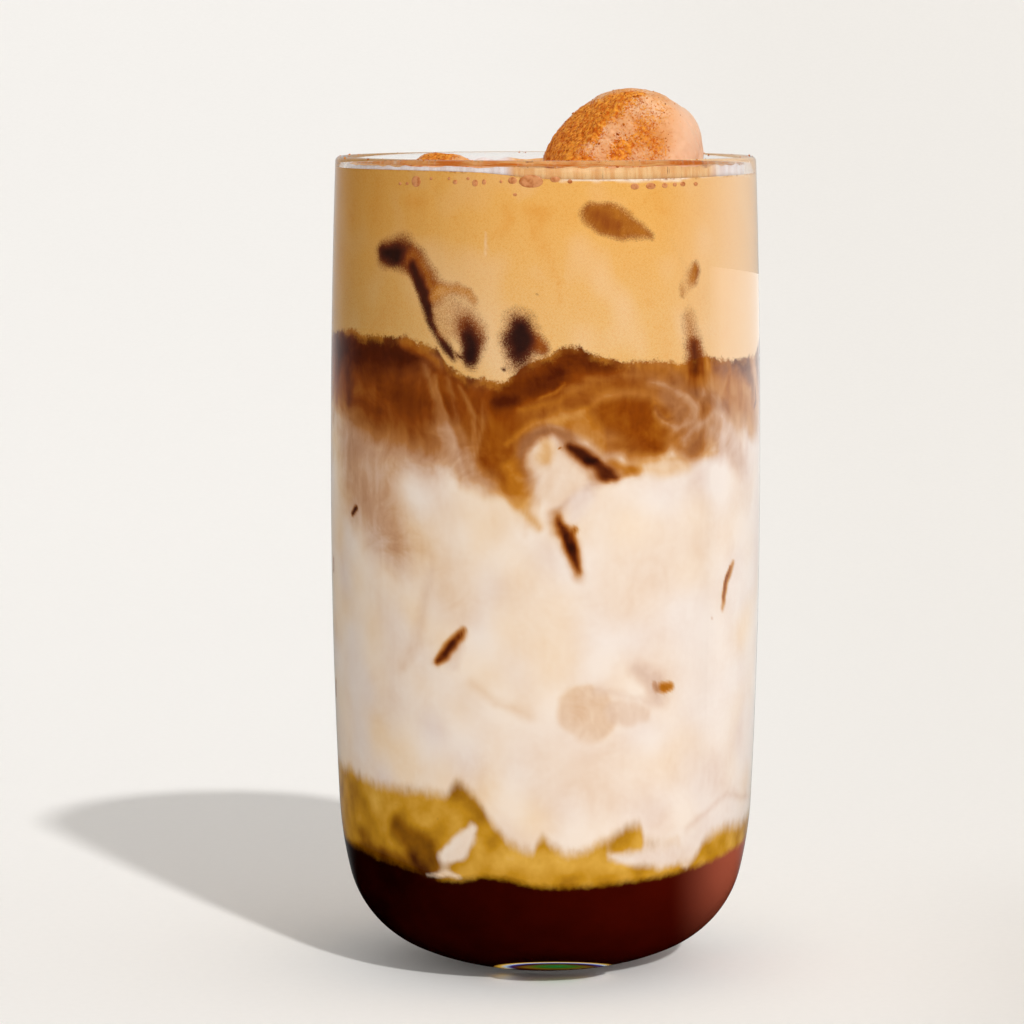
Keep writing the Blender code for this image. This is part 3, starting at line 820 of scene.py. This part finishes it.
    # painted light: the right of the foam turns paler peach
    right = stepUp(tree, place["X"], 17 * mm, 37 * mm)
    foam = mixColour(tree, times(tree, right, 0.8), foam, card["foamPaintedLight"])
    # dark spots in the foam fade out in specks
    speck = ripple(1.1, field["spot"], 0.24 * mm, 2, 0.8)
    inSpot = stepUp(tree, times(tree, speck, stepUp(tree, field["spot"], 0.0, 0.25)), 0.0, 0.85)
    foam = mixColour(tree, inSpot, foam, drink)
    # its lower edge is ragged with fine bubbles
    bubbly = ripple(1.2, ripple(0.7, 0.0, 0.35 * mm, 2, 0.6), 1.5 * mm, 4, 0.65)
    foamEdge = sums(tree, "MULTIPLY_ADD", bubbly, inlet.outputs["Foam Raggedness"], field["foam"])
    inFoam = stepUp(tree, foamEdge, -0.35, 0.5)
    patchy = stepUp(tree, noise(tree, where, 4 * mm, 2), 0.35, 0.65)
    fringe = times(tree, stepUp(tree, foamEdge, -1.7, -0.3), patchy)
    drink = mixColour(tree, times(tree, fringe, 0.5), drink, card["fringe"])
    colour = mixColour(tree, inFoam, drink, foam)
    tree.links.new(colour, outlet.inputs["Colour"])
    return tree


drinkGroup = makeDrinkGroup(colourCard)

layerCards = {
    "syrup": {"rows": 48, "topRings": 8, "crowd": 1.7,
              "finish": {"Roughness": 0.3, "Specular IOR Level": 0.0}},
    "haze": {"rows": 34, "topRings": 8, "crowd": 1.0,
             "finish": {"Roughness": 0.4, "Specular IOR Level": 0.05}},
    "milk": {"rows": 140, "topRings": 8, "crowd": 1.0,
             "finish": {"Roughness": 0.4, "Specular IOR Level": 0.05}},
    "coffee": {"rows": 62, "topRings": 8, "crowd": 1.0,
               "finish": {"Roughness": 0.4, "Specular IOR Level": 0.05}},
    "foam": {"rows": 78, "topRings": 60, "crowd": 1.0,
             "finish": {"Roughness": 0.5, "Specular IOR Level": 0.15}},
}
layerAround = 540  # vertices in a ring of each layer

# Foam: its level at the middle, how it climbs the wall and the ice, and the spice on it
foamCard = {
    "level": 135.4 * mm, "meniscus": 1.2 * mm, "relief": 0.07 * mm,
    "iceClimb": 0.7 * mm, "iceReach": 0.9 * mm,
    "spice": srgb(170, 92, 30),
}

# Ice: melted cubes, each a ball pressed against flats given as (azimuth, elevation, distance in mm)
iceCards = {
    "iceLarge": {
        "node": "ice_large", "centre": (13.5 * mm, 1.0 * mm, 139.0 * mm), "fineness": 7,
        "flats": ((-2, 12, 10.5), (176, -6, 11.5), (-74, 43, 9.8), (84, 62, 13.4), (-80, 82, 12.6),
                  (86, 28, 15.4), (84, -6, 13.5), (-86, 2, 13.8), (-82, -48, 13.0), (70, -52, 13.0),
                  (0, -84, 12.8), (48, 10, 13.8)),
    },
    "iceSmall": {
        "node": "ice_small", "centre": (-18.5 * mm, 11.0 * mm, 129.5 * mm), "fineness": 6,
        "flats": ((10, 4, 9.5), (100, 0, 10.0), (-170, 2, 9.5), (-80, -6, 9.5), (-70, 58, 9.4),
                  (110, 52, 9.8), (0, -86, 10.5)),
    },
}
iceSharpness = 9     # higher makes the edges between the flats crisper
iceSkin = 0.12 * mm  # its surface lies this far inside the fixed part


def icePress(card, rays):
    # reach of the ice along each unit ray from its centre
    total = np.zeros(len(rays))
    for azimuth, elevation, distance in card["flats"]:
        a, e = math.radians(azimuth), math.radians(elevation)
        flat = np.array((math.sin(a) * math.cos(e), -math.cos(a) * math.cos(e), math.sin(e)))
        total += np.maximum(0, rays @ flat / (distance * mm)) ** iceSharpness
    return total ** (-1 / iceSharpness)


def iceGap(card, points):
    # rough distance from points to the ice
    rays = points - np.array(card["centre"])
    length = np.linalg.norm(rays, axis=1)
    return length - icePress(card, rays / length[:, None])


def floorSurface(azimuth, share):
    return np.full(len(azimuth), drinkFloor)


def foamSurface(azimuth, share):
    wall = float(bowlRadius(foamCard["level"]))
    climb = ringHeight("foam", azimuth) - foamCard["level"]
    return foamCard["level"] + climb * np.exp(-wall * (1 - share) / foamCard["meniscus"])


def makeLayerMaterial(name, card):
    material, tree, shader = newMaterial(name + "Drink")
    setAll(shader, card["finish"])
    group = put(tree, "Group", node_tree=drinkGroup)
    tree.links.new(group.outputs["Colour"], shader.inputs["Base Color"])
    if name == "foam":
        where = put(tree, "TexCoord").outputs["Object"]
        # ground spice lies on the top
        top = attribute(tree, "top")
        dust = times(tree, stepUp(tree, noise(tree, where, 5 * mm, 5, 0.7), 0.45, 0.62),
                     stepUp(tree, noise(tree, where, 0.5 * mm, 3, 0.7), 0.42, 0.6))
        dusted = mixColour(tree, times(tree, dust, top), group.outputs["Colour"], foamCard["spice"])
        tree.links.new(dusted, shader.inputs["Base Color"])
        bump = put(tree, "Bump", {"Height": noise(tree, where, 0.7 * mm, 4), "Distance": 0.3 * mm,
                                  "Strength": times(tree, top, 0.5)})
        tree.links.new(bump.outputs[0], shader.inputs["Normal"])
    return material


def makeLayer(name, lower, upper):
    card = layerCards[name]
    shares = [step / card["topRings"] for step in range(1, card["topRings"])]
    side = [(1.0, 1 - step / card["rows"]) for step in range(card["rows"] + 1)]
    under = [(share, 0.0) for share in (0.85, 0.6, 0.3)]
    profile = [(0.0, 1.0)] + [(share, 1.0) for share in shares] + side + under + [(0.0, 0.0)]
    layer = newPiece(name + "Layer", spun(profile, layerAround))
    blank = places(layer.data)
    share = np.hypot(blank[:, 0], blank[:, 1])
    turn = np.arctan2(blank[:, 0], -blank[:, 1])
    azimuth = np.degrees(turn)
    low, high = lower(azimuth, share), upper(azimuth, share)
    height = low + (high - low) * blank[:, 2] ** card["crowd"]
    radius = share * bowlRadius(height)
    points = upright(radius, turn, height)
    if name == "foam":
        onTop = (blank[:, 2] > 0.999) & (share < 0.999)
        relief = foamCard["relief"] * waves(points, 5 * mm, 12)
        for ice in iceCards.values():
            gap = np.maximum(0, iceGap(ice, points))
            relief += foamCard["iceClimb"] * np.exp(-gap / foamCard["iceReach"])
        points[:, 2] += relief * onTop * smooth(0.0, 2 * mm, float(bowlRadius(foamCard["level"])) - radius)
        paintField(layer.data, "top", (blank[:, 2] > 0.999).astype(float))
    movePlaces(layer.data, points)
    layer.data.set_sharp_from_angle(angle=math.radians(40))
    paintDrink(layer.data, points)
    layer.data.materials.append(makeLayerMaterial(name, card))
    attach(layer, "root")
    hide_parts(name)
    print("layer painted:", name)


surfaces = {name: layerSurface(name) for name in ("syrup", "haze", "milk", "coffee")}
makeLayer("syrup", floorSurface, surfaces["syrup"])
makeLayer("haze", surfaces["syrup"], surfaces["haze"])
makeLayer("milk", surfaces["haze"], surfaces["milk"])
makeLayer("coffee", surfaces["milk"], surfaces["coffee"])
makeLayer("foam", surfaces["coffee"], foamSurface)

# Clouded ice under patches of powder
iceLooks = {
    "body": (srgb(234, 162, 96), srgb(246, 196, 152)),
    "rightSide": srgb(243, 194, 158),
    "powder": (srgb(204, 94, 6), srgb(250, 166, 58)),
}


def makeIceMaterial(card):
    material, tree, shader = newMaterial("creamyIce")
    setAll(shader, {"Subsurface Weight": 0.1, "Subsurface Radius": (1.0, 0.55, 0.4),
                    "Subsurface Scale": 1 * mm, "Specular IOR Level": 0.12})
    where, place = objectPlace(tree)
    clouds = stepUp(tree, noise(tree, where, 6 * mm, 4, 0.6), 0.35, 0.65)
    body = mixColour(tree, clouds, *card["body"])
    body = mixColour(tree, stepUp(tree, place["X"], 19 * mm, 25 * mm), body, card["rightSide"])
    speck = noise(tree, where, 0.36 * mm, 3, 0.75)
    patch = sums(tree, "MULTIPLY_ADD", noise(tree, where, 2.5 * mm, 4, 0.7), 0.5, attribute(tree, "dust"))
    powder = stepUp(tree, sums(tree, "MULTIPLY_ADD", patch, 0.42, speck), 0.72, 0.9)
    tone = mixColour(tree, stepUp(tree, noise(tree, where, 0.9 * mm, 3, 0.7), 0.35, 0.65), *card["powder"])
    tree.links.new(mixColour(tree, powder, body, tone), shader.inputs["Base Color"])
    tree.links.new(sums(tree, "MULTIPLY_ADD", powder, 0.35, 0.4), shader.inputs["Roughness"])
    height = sums(tree, "MULTIPLY_ADD", powder, 0.5, noise(tree, where, 0.8 * mm, 5, 0.6))
    bump = put(tree, "Bump", {"Height": height, "Strength": 0.55, "Distance": 0.16 * mm})
    tree.links.new(bump.outputs[0], shader.inputs["Normal"])
    return material


iceMaterial = makeIceMaterial(iceLooks)


def iceDust(rays, points):
    # powder is dense on the left facet and the ridge, thin over the front, and gathers low down
    left = smooth(0.56, 0.93, rays @ np.array((-0.83, -0.10, 0.55)))
    ridge = smooth(0.78, 0.99, rays @ np.array((-0.28, -0.28, 0.92)))
    leftwards = smooth(0.75, 0.35, rays[:, 0])
    low = smooth(6 * mm, 1 * mm, np.abs(points[:, 2] - 141.5 * mm))
    drifts = np.clip(0.5 + 0.5 * waves(points, 5 * mm, 23), 0, 1)
    return np.clip(0.95 * left + 0.7 * ridge + (0.27 + 0.2 * drifts + 0.32 * low * drifts) * leftwards, 0, 1)


def iceReach(card, rays):
    # reach of the dented surface along each unit ray
    reach = icePress(card, rays) - iceSkin
    points = np.array(card["centre"]) + rays * reach[:, None]
    dents = np.maximum(0, waves(points, 7 * mm, 21)) * 0.22 * mm
    dents += np.maximum(0, waves(points, 2.0 * mm, 22)) * 0.06 * mm
    lumps = iceDust(rays, points) * np.clip(0.5 + 0.5 * waves(points, 1.1 * mm, 24), 0, 1) * 0.3 * mm
    return reach - dents - lumps


def makeIce(name, card):
    shape = bmesh.new()
    bmesh.ops.create_icosphere(shape, subdivisions=card["fineness"], radius=1.0)
    ice = newPiece(name, shape)
    rays = places(ice.data)
    rays /= np.linalg.norm(rays, axis=1)[:, None]
    points = np.array(card["centre"]) + rays * iceReach(card, rays)[:, None]
    movePlaces(ice.data, points)
    paintField(ice.data, "dust", iceDust(rays, points))
    ice.data.materials.append(iceMaterial)
    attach(ice, "root")
    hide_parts(card["node"])


for name, card in iceCards.items():
    makeIce(name, card)
print("ice shaped")

# Ground spice: tiny rough grains on the ice, the foam and the rim
grainCard = {
    "onIce": 2200, "onFoam": 420, "onRim": 90,
    "smallest": 0.06 * mm, "largest": 0.24 * mm, "faceting": 1,
    "highest": 151.35 * mm,  # grains on the ice stay under its top
    "rise": 0.06 * mm,       # grains on the foam lie this far over its level
    "colours": (srgb(150, 66, 14), srgb(234, 142, 44)),
    "seed": 31,
}


def makeGrainMaterial(card):
    material, tree, shader = newMaterial("groundSpice")
    setAll(shader, {"Roughness": 0.9, "Specular IOR Level": 0.1})
    where = put(tree, "TexCoord").outputs["Object"]
    share = stepUp(tree, noise(tree, where, 0.8 * mm, 2), 0.3, 0.7)
    tree.links.new(mixColour(tree, share, *card["colours"]), shader.inputs["Base Color"])
    return material


grainMaterial = makeGrainMaterial(grainCard)


def makeGrains(name, spots, card, draw):
    shape = bmesh.new()
    sizes = card["smallest"] + (card["largest"] - card["smallest"]) * draw.random(len(spots)) ** 2.5
    for spot, size in zip(spots, sizes):
        squash = Matrix.Diagonal((*(size * draw.uniform(0.6, 1.3, 3)), 1))
        turn = Matrix.Rotation(draw.uniform(0, 2 * math.pi), 4, Vector(draw.normal(size=3)))
        bmesh.ops.create_icosphere(shape, subdivisions=card["faceting"], radius=1.0,
                                   matrix=Matrix.Translation(Vector(spot)) @ turn @ squash)
    grains = newPiece(name, shape, smoothFaces=False)
    grains.data.materials.append(grainMaterial)
    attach(grains, "root")


def spiceIce(card):
    draw = np.random.default_rng(card["seed"])
    spots = []
    for ice in iceCards.values():
        rays = draw.normal(size=(card["onIce"], 3))
        rays /= np.linalg.norm(rays, axis=1)[:, None]
        points = np.array(ice["centre"]) + rays * iceReach(ice, rays)[:, None]
        kept = draw.random(len(points)) < iceDust(rays, points)
        kept &= (points[:, 2] > foamCard["level"] + 0.5 * mm) & (points[:, 2] < card["highest"])
        spots.extend(points[kept])
    makeGrains("spiceOnIce", spots, card, draw)


def spiceFoam(card):
    draw = np.random.default_rng(card["seed"] + 1)
    wall = float(bowlRadius(foamCard["level"]))
    radius = (wall - 2.5 * mm) * np.sqrt(draw.random(card["onFoam"]))
    turn = draw.uniform(-math.pi, math.pi, card["onFoam"])
    points = upright(radius, turn, np.full(len(turn), foamCard["level"] + card["rise"]))
    clear = np.ones(len(points), bool)
    for ice in iceCards.values():
        clear &= iceGap(ice, points) > 1.2 * mm
    makeGrains("spiceOnFoam", points[clear], card, draw)


def spiceRim(card):
    draw = np.random.default_rng(card["seed"] + 2)
    turn = draw.uniform(-math.pi, math.pi, card["onRim"])
    lean = draw.uniform(-0.9, 0.9, card["onRim"])
    lip = glassCard["wall"] / 2
    radius = outerRadii[-1] - lip + lip * np.sin(lean)
    height = outerHeights[-1] + lip * np.cos(lean)
    makeGrains("spiceOnRim", upright(radius, turn, height), card, draw)


spiceIce(grainCard)
spiceFoam(grainCard)
spiceRim(grainCard)
print("spice scattered")

# Thin films that the drink has left on the inner wall: milky over the foam, and streaks of cream in the lip
filmCards = {
    "milkFilm": {
        "low": 0.0, "high": 138.8 * mm, "raggedness": 0.12 * mm, "ends": 180, "alpha": 0.85,
        "pale": (srgb(252, 244, 244), srgb(238, 220, 214)),
        "tan": (srgb(250, 204, 142), srgb(238, 172, 100)), "tanFrom": -6 * mm, "tanTo": 27 * mm,
        "runs": srgb(150, 84, 30), "drawn": (1, 1, 0.1),
    },
    "creamStreaks": {
        "low": 138.95 * mm, "high": 139.75 * mm, "raggedness": 0.05 * mm, "ends": 64, "alpha": 0.75,
        "pale": (srgb(255, 222, 186), srgb(238, 160, 90)),
        "tan": (srgb(255, 190, 116), srgb(232, 120, 14)), "tanFrom": -24 * mm, "tanTo": 26 * mm,
        "runs": srgb(116, 48, 4), "drawn": (0.16, 0.16, 5),
    },
}
filmThickness = 0.05 * mm
filmInset = 0.06 * mm
filmRing = 37 * mm  # the waves of its ragged edge are read along a ring of this radius


def makeFilm(name, card):
    profile = [(1.0, 0.0), (1.0, 0.5), (1.0, 1.0), (0.95, 1.0), (0.95, 0.5), (0.95, 0.0), (1.0, 0.0)]
    shape = spun(profile, 360)
    if card["ends"] < 180:
        bmesh.ops.bisect_plane(shape, geom=shape.verts[:] + shape.edges[:] + shape.faces[:], dist=0.00001,
                               plane_co=(0, -math.cos(math.radians(card["ends"])), 0), plane_no=(0, 1, 0),
                               clear_outer=True)
        bmesh.ops.holes_fill(shape, edges=[edge for edge in shape.edges if edge.is_boundary])
    film = newPiece(name, shape)
    blank = places(film.data)
    turn = np.arctan2(blank[:, 0], -blank[:, 1])
    inner = np.hypot(blank[:, 0], blank[:, 1]) < 0.975
    low = np.maximum(card["low"], ringHeight("foam", np.degrees(turn)) - 0.25 * mm)
    ragged = waves(upright(filmRing, turn, 0 * turn), 2.5 * mm, 41)
    high = card["high"] + card["raggedness"] * ragged
    height = low + (high - low) * blank[:, 2]
    # inside the lip it follows the lip's round
    lip = glassCard["wall"] / 2
    over = np.clip(height - outerHeights[-1], 0, lip)
    radius = bowlRadius(height) + lip - np.sqrt(lip ** 2 - over ** 2) - filmInset - filmThickness * inner
    movePlaces(film.data, upright(radius, turn, height))
    material, tree, shader = newMaterial(name)
    where, place = objectPlace(tree)
    drawn = stretched(tree, where, card["drawn"])
    streak = stepUp(tree, noise(tree, drawn, 1.4 * mm, 5, 0.7), 0.4, 0.6)
    inTan = times(tree, stepUp(tree, place["X"], card["tanFrom"] - mm, card["tanFrom"] + mm),
                  stepUp(tree, place["X"], card["tanTo"] + 2 * mm, card["tanTo"] - mm))
    pale = mixColour(tree, streak, *card["pale"])
    runs = stepUp(tree, noise(tree, drawn, 0.8 * mm, 3, 0.7), 0.64, 0.72)
    tan = mixColour(tree, runs, mixColour(tree, streak, *card["tan"]), card["runs"])
    tree.links.new(mixColour(tree, inTan, pale, tan), shader.inputs["Base Color"])
    setAll(shader, {"Roughness": 0.4, "Specular IOR Level": 0.2, "Alpha": card["alpha"]})
    film.data.materials.append(material)
    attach(film, "root")


for name, card in filmCards.items():
    makeFilm(name, card)

# Bubbles pressed flat against the wall: pixel places with half widths and half heights
bubbleCard = {
    "bubbles": ((416, 182, 5.5, 5.5), (400, 184, 2, 1.5), (407, 184, 2, 1.5), (431, 179, 1.6, 1.4),
                (449, 179, 1.6, 1.4), (455, 182.5, 2.4, 2.2), (468, 179, 1.8, 1.5), (475, 183.5, 3, 3.4),
                (484, 182.5, 2.2, 2.6), (501, 182, 1.5, 1.5), (512.5, 181, 4.4, 3.4), (515, 195, 2, 1.6),
                (531, 182, 11.5, 6.2), (555, 180, 4.6, 2.8), (570, 182, 2.4, 2), (635, 187, 4.5, 3),
                (651, 186.5, 5.5, 3.2), (665, 186, 3.4, 2.4), (675, 185, 2.6, 2), (683, 184.5, 3.4, 2.4),
                (696, 184.5, 3, 2)),
    "depth": 0.16 * mm, "fineness": 3,
    "middle": (srgb(220, 150, 96), srgb(186, 106, 52)), "rim": srgb(236, 196, 140),
}


def makeBubbles(card):
    shape = bmesh.new()
    for px, py, halfWidth, halfHeight in card["bubbles"]:
        azimuth, height = wallSpot(px, py)
        turn = math.radians(azimuth)
        radius = float(bowlRadius(height)) - 0.02 * mm
        size = Matrix.Diagonal((halfWidth * mm / paintCard["pixelsPerMm"], card["depth"],
                                halfHeight * mm / paintCard["pixelsPerMm"], 1))
        spot = Matrix.Translation((radius * math.sin(turn), -radius * math.cos(turn), height))
        bmesh.ops.create_icosphere(shape, subdivisions=card["fineness"], radius=1.0,
                                   matrix=spot @ Matrix.Rotation(turn, 4, "Z") @ size)
    bubbles = newPiece("wallBubbles", shape)
    material, tree, shader = newMaterial("bubbleSkin")
    facing = put(tree, "LayerWeight", {"Blend": 0.5}).outputs["Facing"]
    where = put(tree, "TexCoord").outputs["Object"]
    blotch = stepUp(tree, noise(tree, where, 0.9 * mm, 3), 0.4, 0.7)
    middle = mixColour(tree, blotch, *card["middle"])
    # painted highlight: each bubble turns paler at its edge, where it turns from the view
    rim = stepUp(tree, facing, 0.55, 0.95)
    tree.links.new(mixColour(tree, rim, middle, card["rim"]), shader.inputs["Base Color"])
    setAll(shader, {"Roughness": 0.35, "Specular IOR Level": 0.2})
    bubbles.data.materials.append(material)
    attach(bubbles, "root")


makeBubbles(bubbleCard)
print("film and bubbles added")

# Painted rainbow where the heel bends the light: a faintly glowing sheet on the outside of the glass
sliverCard = {
    "centre": (556, 966.6), "half": (63, 4.8), "proud": 0.03 * mm, "along": 64, "across": 14,
    "search": (690 * mm, 780 * mm, 4000),  # from, to and steps of the look along each line of sight
    # colours from the middle outwards: inner in the lower middle, edge in the upper half and at both ends
    "inner": ((0.0, srgb(20, 120, 60)), (0.3, srgb(60, 110, 30)), (0.5, srgb(130, 96, 24)),
              (0.68, srgb(80, 26, 8)), (0.85, srgb(38, 6, 4)), (1.0, srgb(30, 4, 2))),
    "edge": ((0.0, srgb(20, 120, 60)), (0.3, srgb(60, 110, 30)), (0.5, srgb(90, 40, 20)),
             (0.6, srgb(40, 10, 20)), (0.72, srgb(60, 50, 160)), (0.8, srgb(190, 215, 235)),
             (0.9, srgb(236, 190, 60)), (1.0, srgb(96, 30, 4))),
}


def heelSpot(px, py):
    # where the line of sight through a pixel first meets the outside of the glass
    away = np.linspace(*sliverCard["search"])[:, None]
    path = np.array(viewCard["place"]) + away * np.array(sightLine(px, py))
    inside = np.hypot(path[:, 0], path[:, 1]) < np.interp(path[:, 2], outerHeights, outerRadii, left=0)
    return path[np.argmax(inside)] if inside.any() else None


def makeSliver(card):
    shape = bmesh.new()
    bmesh.ops.create_grid(shape, x_segments=card["along"], y_segments=card["across"], size=1.0)
    spread = shape.verts.layers.float.new("spread")
    topShare = shape.verts.layers.float.new("topShare")
    (middleX, middleY), (halfX, halfY) = card["centre"], card["half"]
    for corner in shape.verts[:]:
        u, v = corner.co.x, corner.co.y
        reach = math.sqrt(max(0.0, 1 - u * u))
        spot = heelSpot(middleX + halfX * u, middleY - halfY * v * reach)
        if spot is None:
            shape.verts.remove(corner)
        else:
            corner.co = Vector(spot) + Vector((spot[0], spot[1], -0.5 * mm)).normalized() * card["proud"]
            corner[spread] = math.hypot(u, v * reach)
            corner[topShare] = float(max(smooth(-0.1, 0.3, v), smooth(0.6, 0.8, abs(u))))
    bmesh.ops.remove_doubles(shape, verts=shape.verts[:], dist=0.00001)
    bmesh.ops.recalc_face_normals(shape, faces=shape.faces[:])
    sliver = newPiece("heelGlint", shape)
    material, tree, shader = newMaterial("splitLight")
    away = attribute(tree, "spread")
    inner, edge = ramp(tree, away, card["inner"]), ramp(tree, away, card["edge"])
    bands = mixColour(tree, attribute(tree, "topShare"), inner, edge)
    tree.links.new(bands, shader.inputs["Base Color"])
    # the bands also glow, as painted light
    tree.links.new(bands, shader.inputs["Emission Color"])
    setAll(shader, {"Roughness": 0.3, "Specular IOR Level": 0.1, "Emission Strength": 0.3})
    sliver.data.materials.append(material)
    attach(sliver, "root")


makeSliver(sliverCard)
print("heel glint laid")

# Stage: a pale sweep that rises behind, with painted shade a little darker behind, at the right and in the
# right front corner
stageCard = {
    "front": -6.0, "bend": 0.45, "bendRadius": 1.6, "top": 3.0, "half": 5.0,
    "near": (0.925, 0.905, 0.876, 1), "far": (0.845, 0.827, 0.80, 1),
    "rightShade": (0.96, 0.952, 0.94, 1), "frontShade": (0.86, 0.85, 0.84, 1),
    "grain": (0.985, 0.985, 0.985, 1),
}


def makeSweep(card):
    flat = [(card["front"], 0.0), (card["bend"], 0.0)]
    arc = [(card["bend"] + card["bendRadius"] * math.sin(turn), card["bendRadius"] * (1 - math.cos(turn)))
           for turn in np.linspace(0, math.pi / 2, 40)[1:]]
    line = flat + arc + [(arc[-1][0], card["top"])]
    shape = swept([(-card["half"], y, z) for y, z in line], (2 * card["half"], 0, 0))
    bmesh.ops.recalc_face_normals(shape, faces=shape.faces[:])
    sweep = newPiece("sweep", shape)
    material, tree, shader = newMaterial("palePaper")
    setAll(shader, {"Roughness": 0.9, "Specular IOR Level": 0.0})
    where, place = objectPlace(tree)
    # painted shade: the paper darkens behind, at the right and in the right front corner
    pale = mixColour(tree, stepUp(tree, place["Y"], 0.35, 1.2), card["near"], card["far"])
    right = stepUp(tree, place["X"], -0.06, 0.13)
    front = times(tree, stepUp(tree, place["X"], 0.04, 0.11), stepUp(tree, place["Y"], 0.12, -0.03))
    grain = stepUp(tree, noise(tree, where, 1.5 * mm, 2), 0.8, 0.2)
    for share, shade in ((right, "rightShade"), (front, "frontShade"), (grain, "grain")):
        pale = mixColour(tree, share, pale, card[shade], "MULTIPLY")
    tree.links.new(pale, shader.inputs["Base Color"])
    sweep.data.materials.append(material)
    sweep.visible_glossy = False


makeSweep(stageCard)

# Lights: a sun-like key from the right, even fill, and cards that only the glass mirrors
lightCard = {
    "keyFrom": (0.068, -0.139, 0.140), "keyPower": 1.62, "keySize": 2.6,
    "fill": 0.575, "lean": 0.4, "behind": 0.9, "inFront": 0.004, "mirrored": 0.6,
    "panelAzimuths": (94, 166), "panelTops": (116 * mm, 101 * mm), "panelAway": 400 * mm,
    "panelHeight": 220 * mm, "panelGlow": 1.1, "panelSteps": 8,
}


def makeLights(card):
    sun = bpy.data.lights.new("key", "SUN")
    sun.energy = card["keyPower"]
    sun.angle = math.radians(card["keySize"])
    key = bpy.data.objects.new("key", sun)
    key.rotation_euler = Vector(card["keyFrom"]).to_track_quat("Z", "Y").to_euler()
    bpy.context.scene.collection.objects.link(key)

    world = bpy.data.worlds.new("studio")
    bpy.context.scene.world = world
    world.use_nodes = True
    tree = world.node_tree
    back = tree.nodes["Background"]
    path = put(tree, "LightPath")
    direction = put(tree, "SeparateXYZ", {0: put(tree, "TexCoord").outputs["Generated"]})
    behind = put(tree, "MapRange", {"Value": direction.outputs["Y"], "From Min": 0.0, "From Max": 0.6,
                                    "To Min": card["inFront"], "To Max": card["behind"]},
                 interpolation_type="SMOOTHSTEP").outputs["Result"]
    mirrored = times(tree, behind, card["mirrored"])
    mirrored = times(tree, mirrored, stepUp(tree, direction.outputs["Z"], -0.3, 0.0))
    mirrored = times(tree, mirrored, stepUp(tree, direction.outputs["X"], -0.95, -0.2))
    leaning = sums(tree, "MULTIPLY_ADD", direction.outputs["X"], card["fill"] * card["lean"], card["fill"])
    shown = put(tree, "Mix", {0: path.outputs["Is Camera Ray"], 2: leaning, 3: card["behind"]})
    amount = put(tree, "Mix", {0: path.outputs["Is Glossy Ray"], 2: shown.outputs[0], 3: mirrored})
    tree.links.new(amount.outputs[0], back.inputs["Strength"])
    back.inputs["Color"].default_value = (1.0, 0.99, 0.98, 1)


makeLights(lightCard)


def makePanel(card):
    # pale card on the right, seen only as a reflection in the glass
    turns = np.linspace(*np.radians(card["panelAzimuths"]), card["panelSteps"])
    tops = np.linspace(*card["panelTops"], card["panelSteps"])
    shape = swept(upright(card["panelAway"], turns, tops), (0, 0, -card["panelHeight"]))
    panel = newPiece("mirroredCard", shape, smoothFaces=False)
    material, tree, shader = newMaterial("cardGlow")
    setAll(shader, {"Base Color": (0, 0, 0, 1), "Emission Color": (1, 0.98, 0.96, 1),
                    "Specular IOR Level": 0.0})
    _, place = objectPlace(tree)
    upper = sums(tree, "MULTIPLY_ADD", stepUp(tree, place["Z"], 0.03, 0.085), 0.32, 0.68)
    lower = times(tree, upper, stepUp(tree, place["Z"], -0.1, 0.0))
    sideways = sums(tree, "MULTIPLY_ADD", stepUp(tree, place["Y"], 0.02, 0.11), 0.7, 0.3)
    glow = times(tree, times(tree, lower, sideways), card["panelGlow"])
    tree.links.new(glow, shader.inputs["Emission Strength"])
    panel.data.materials.append(material)
    panel.visible_camera = panel.visible_diffuse = panel.visible_shadow = False
    panel.visible_transmission = False


makePanel(lightCard)
bpy.context.scene.view_settings.view_transform = "Standard"

print("latte dressed")
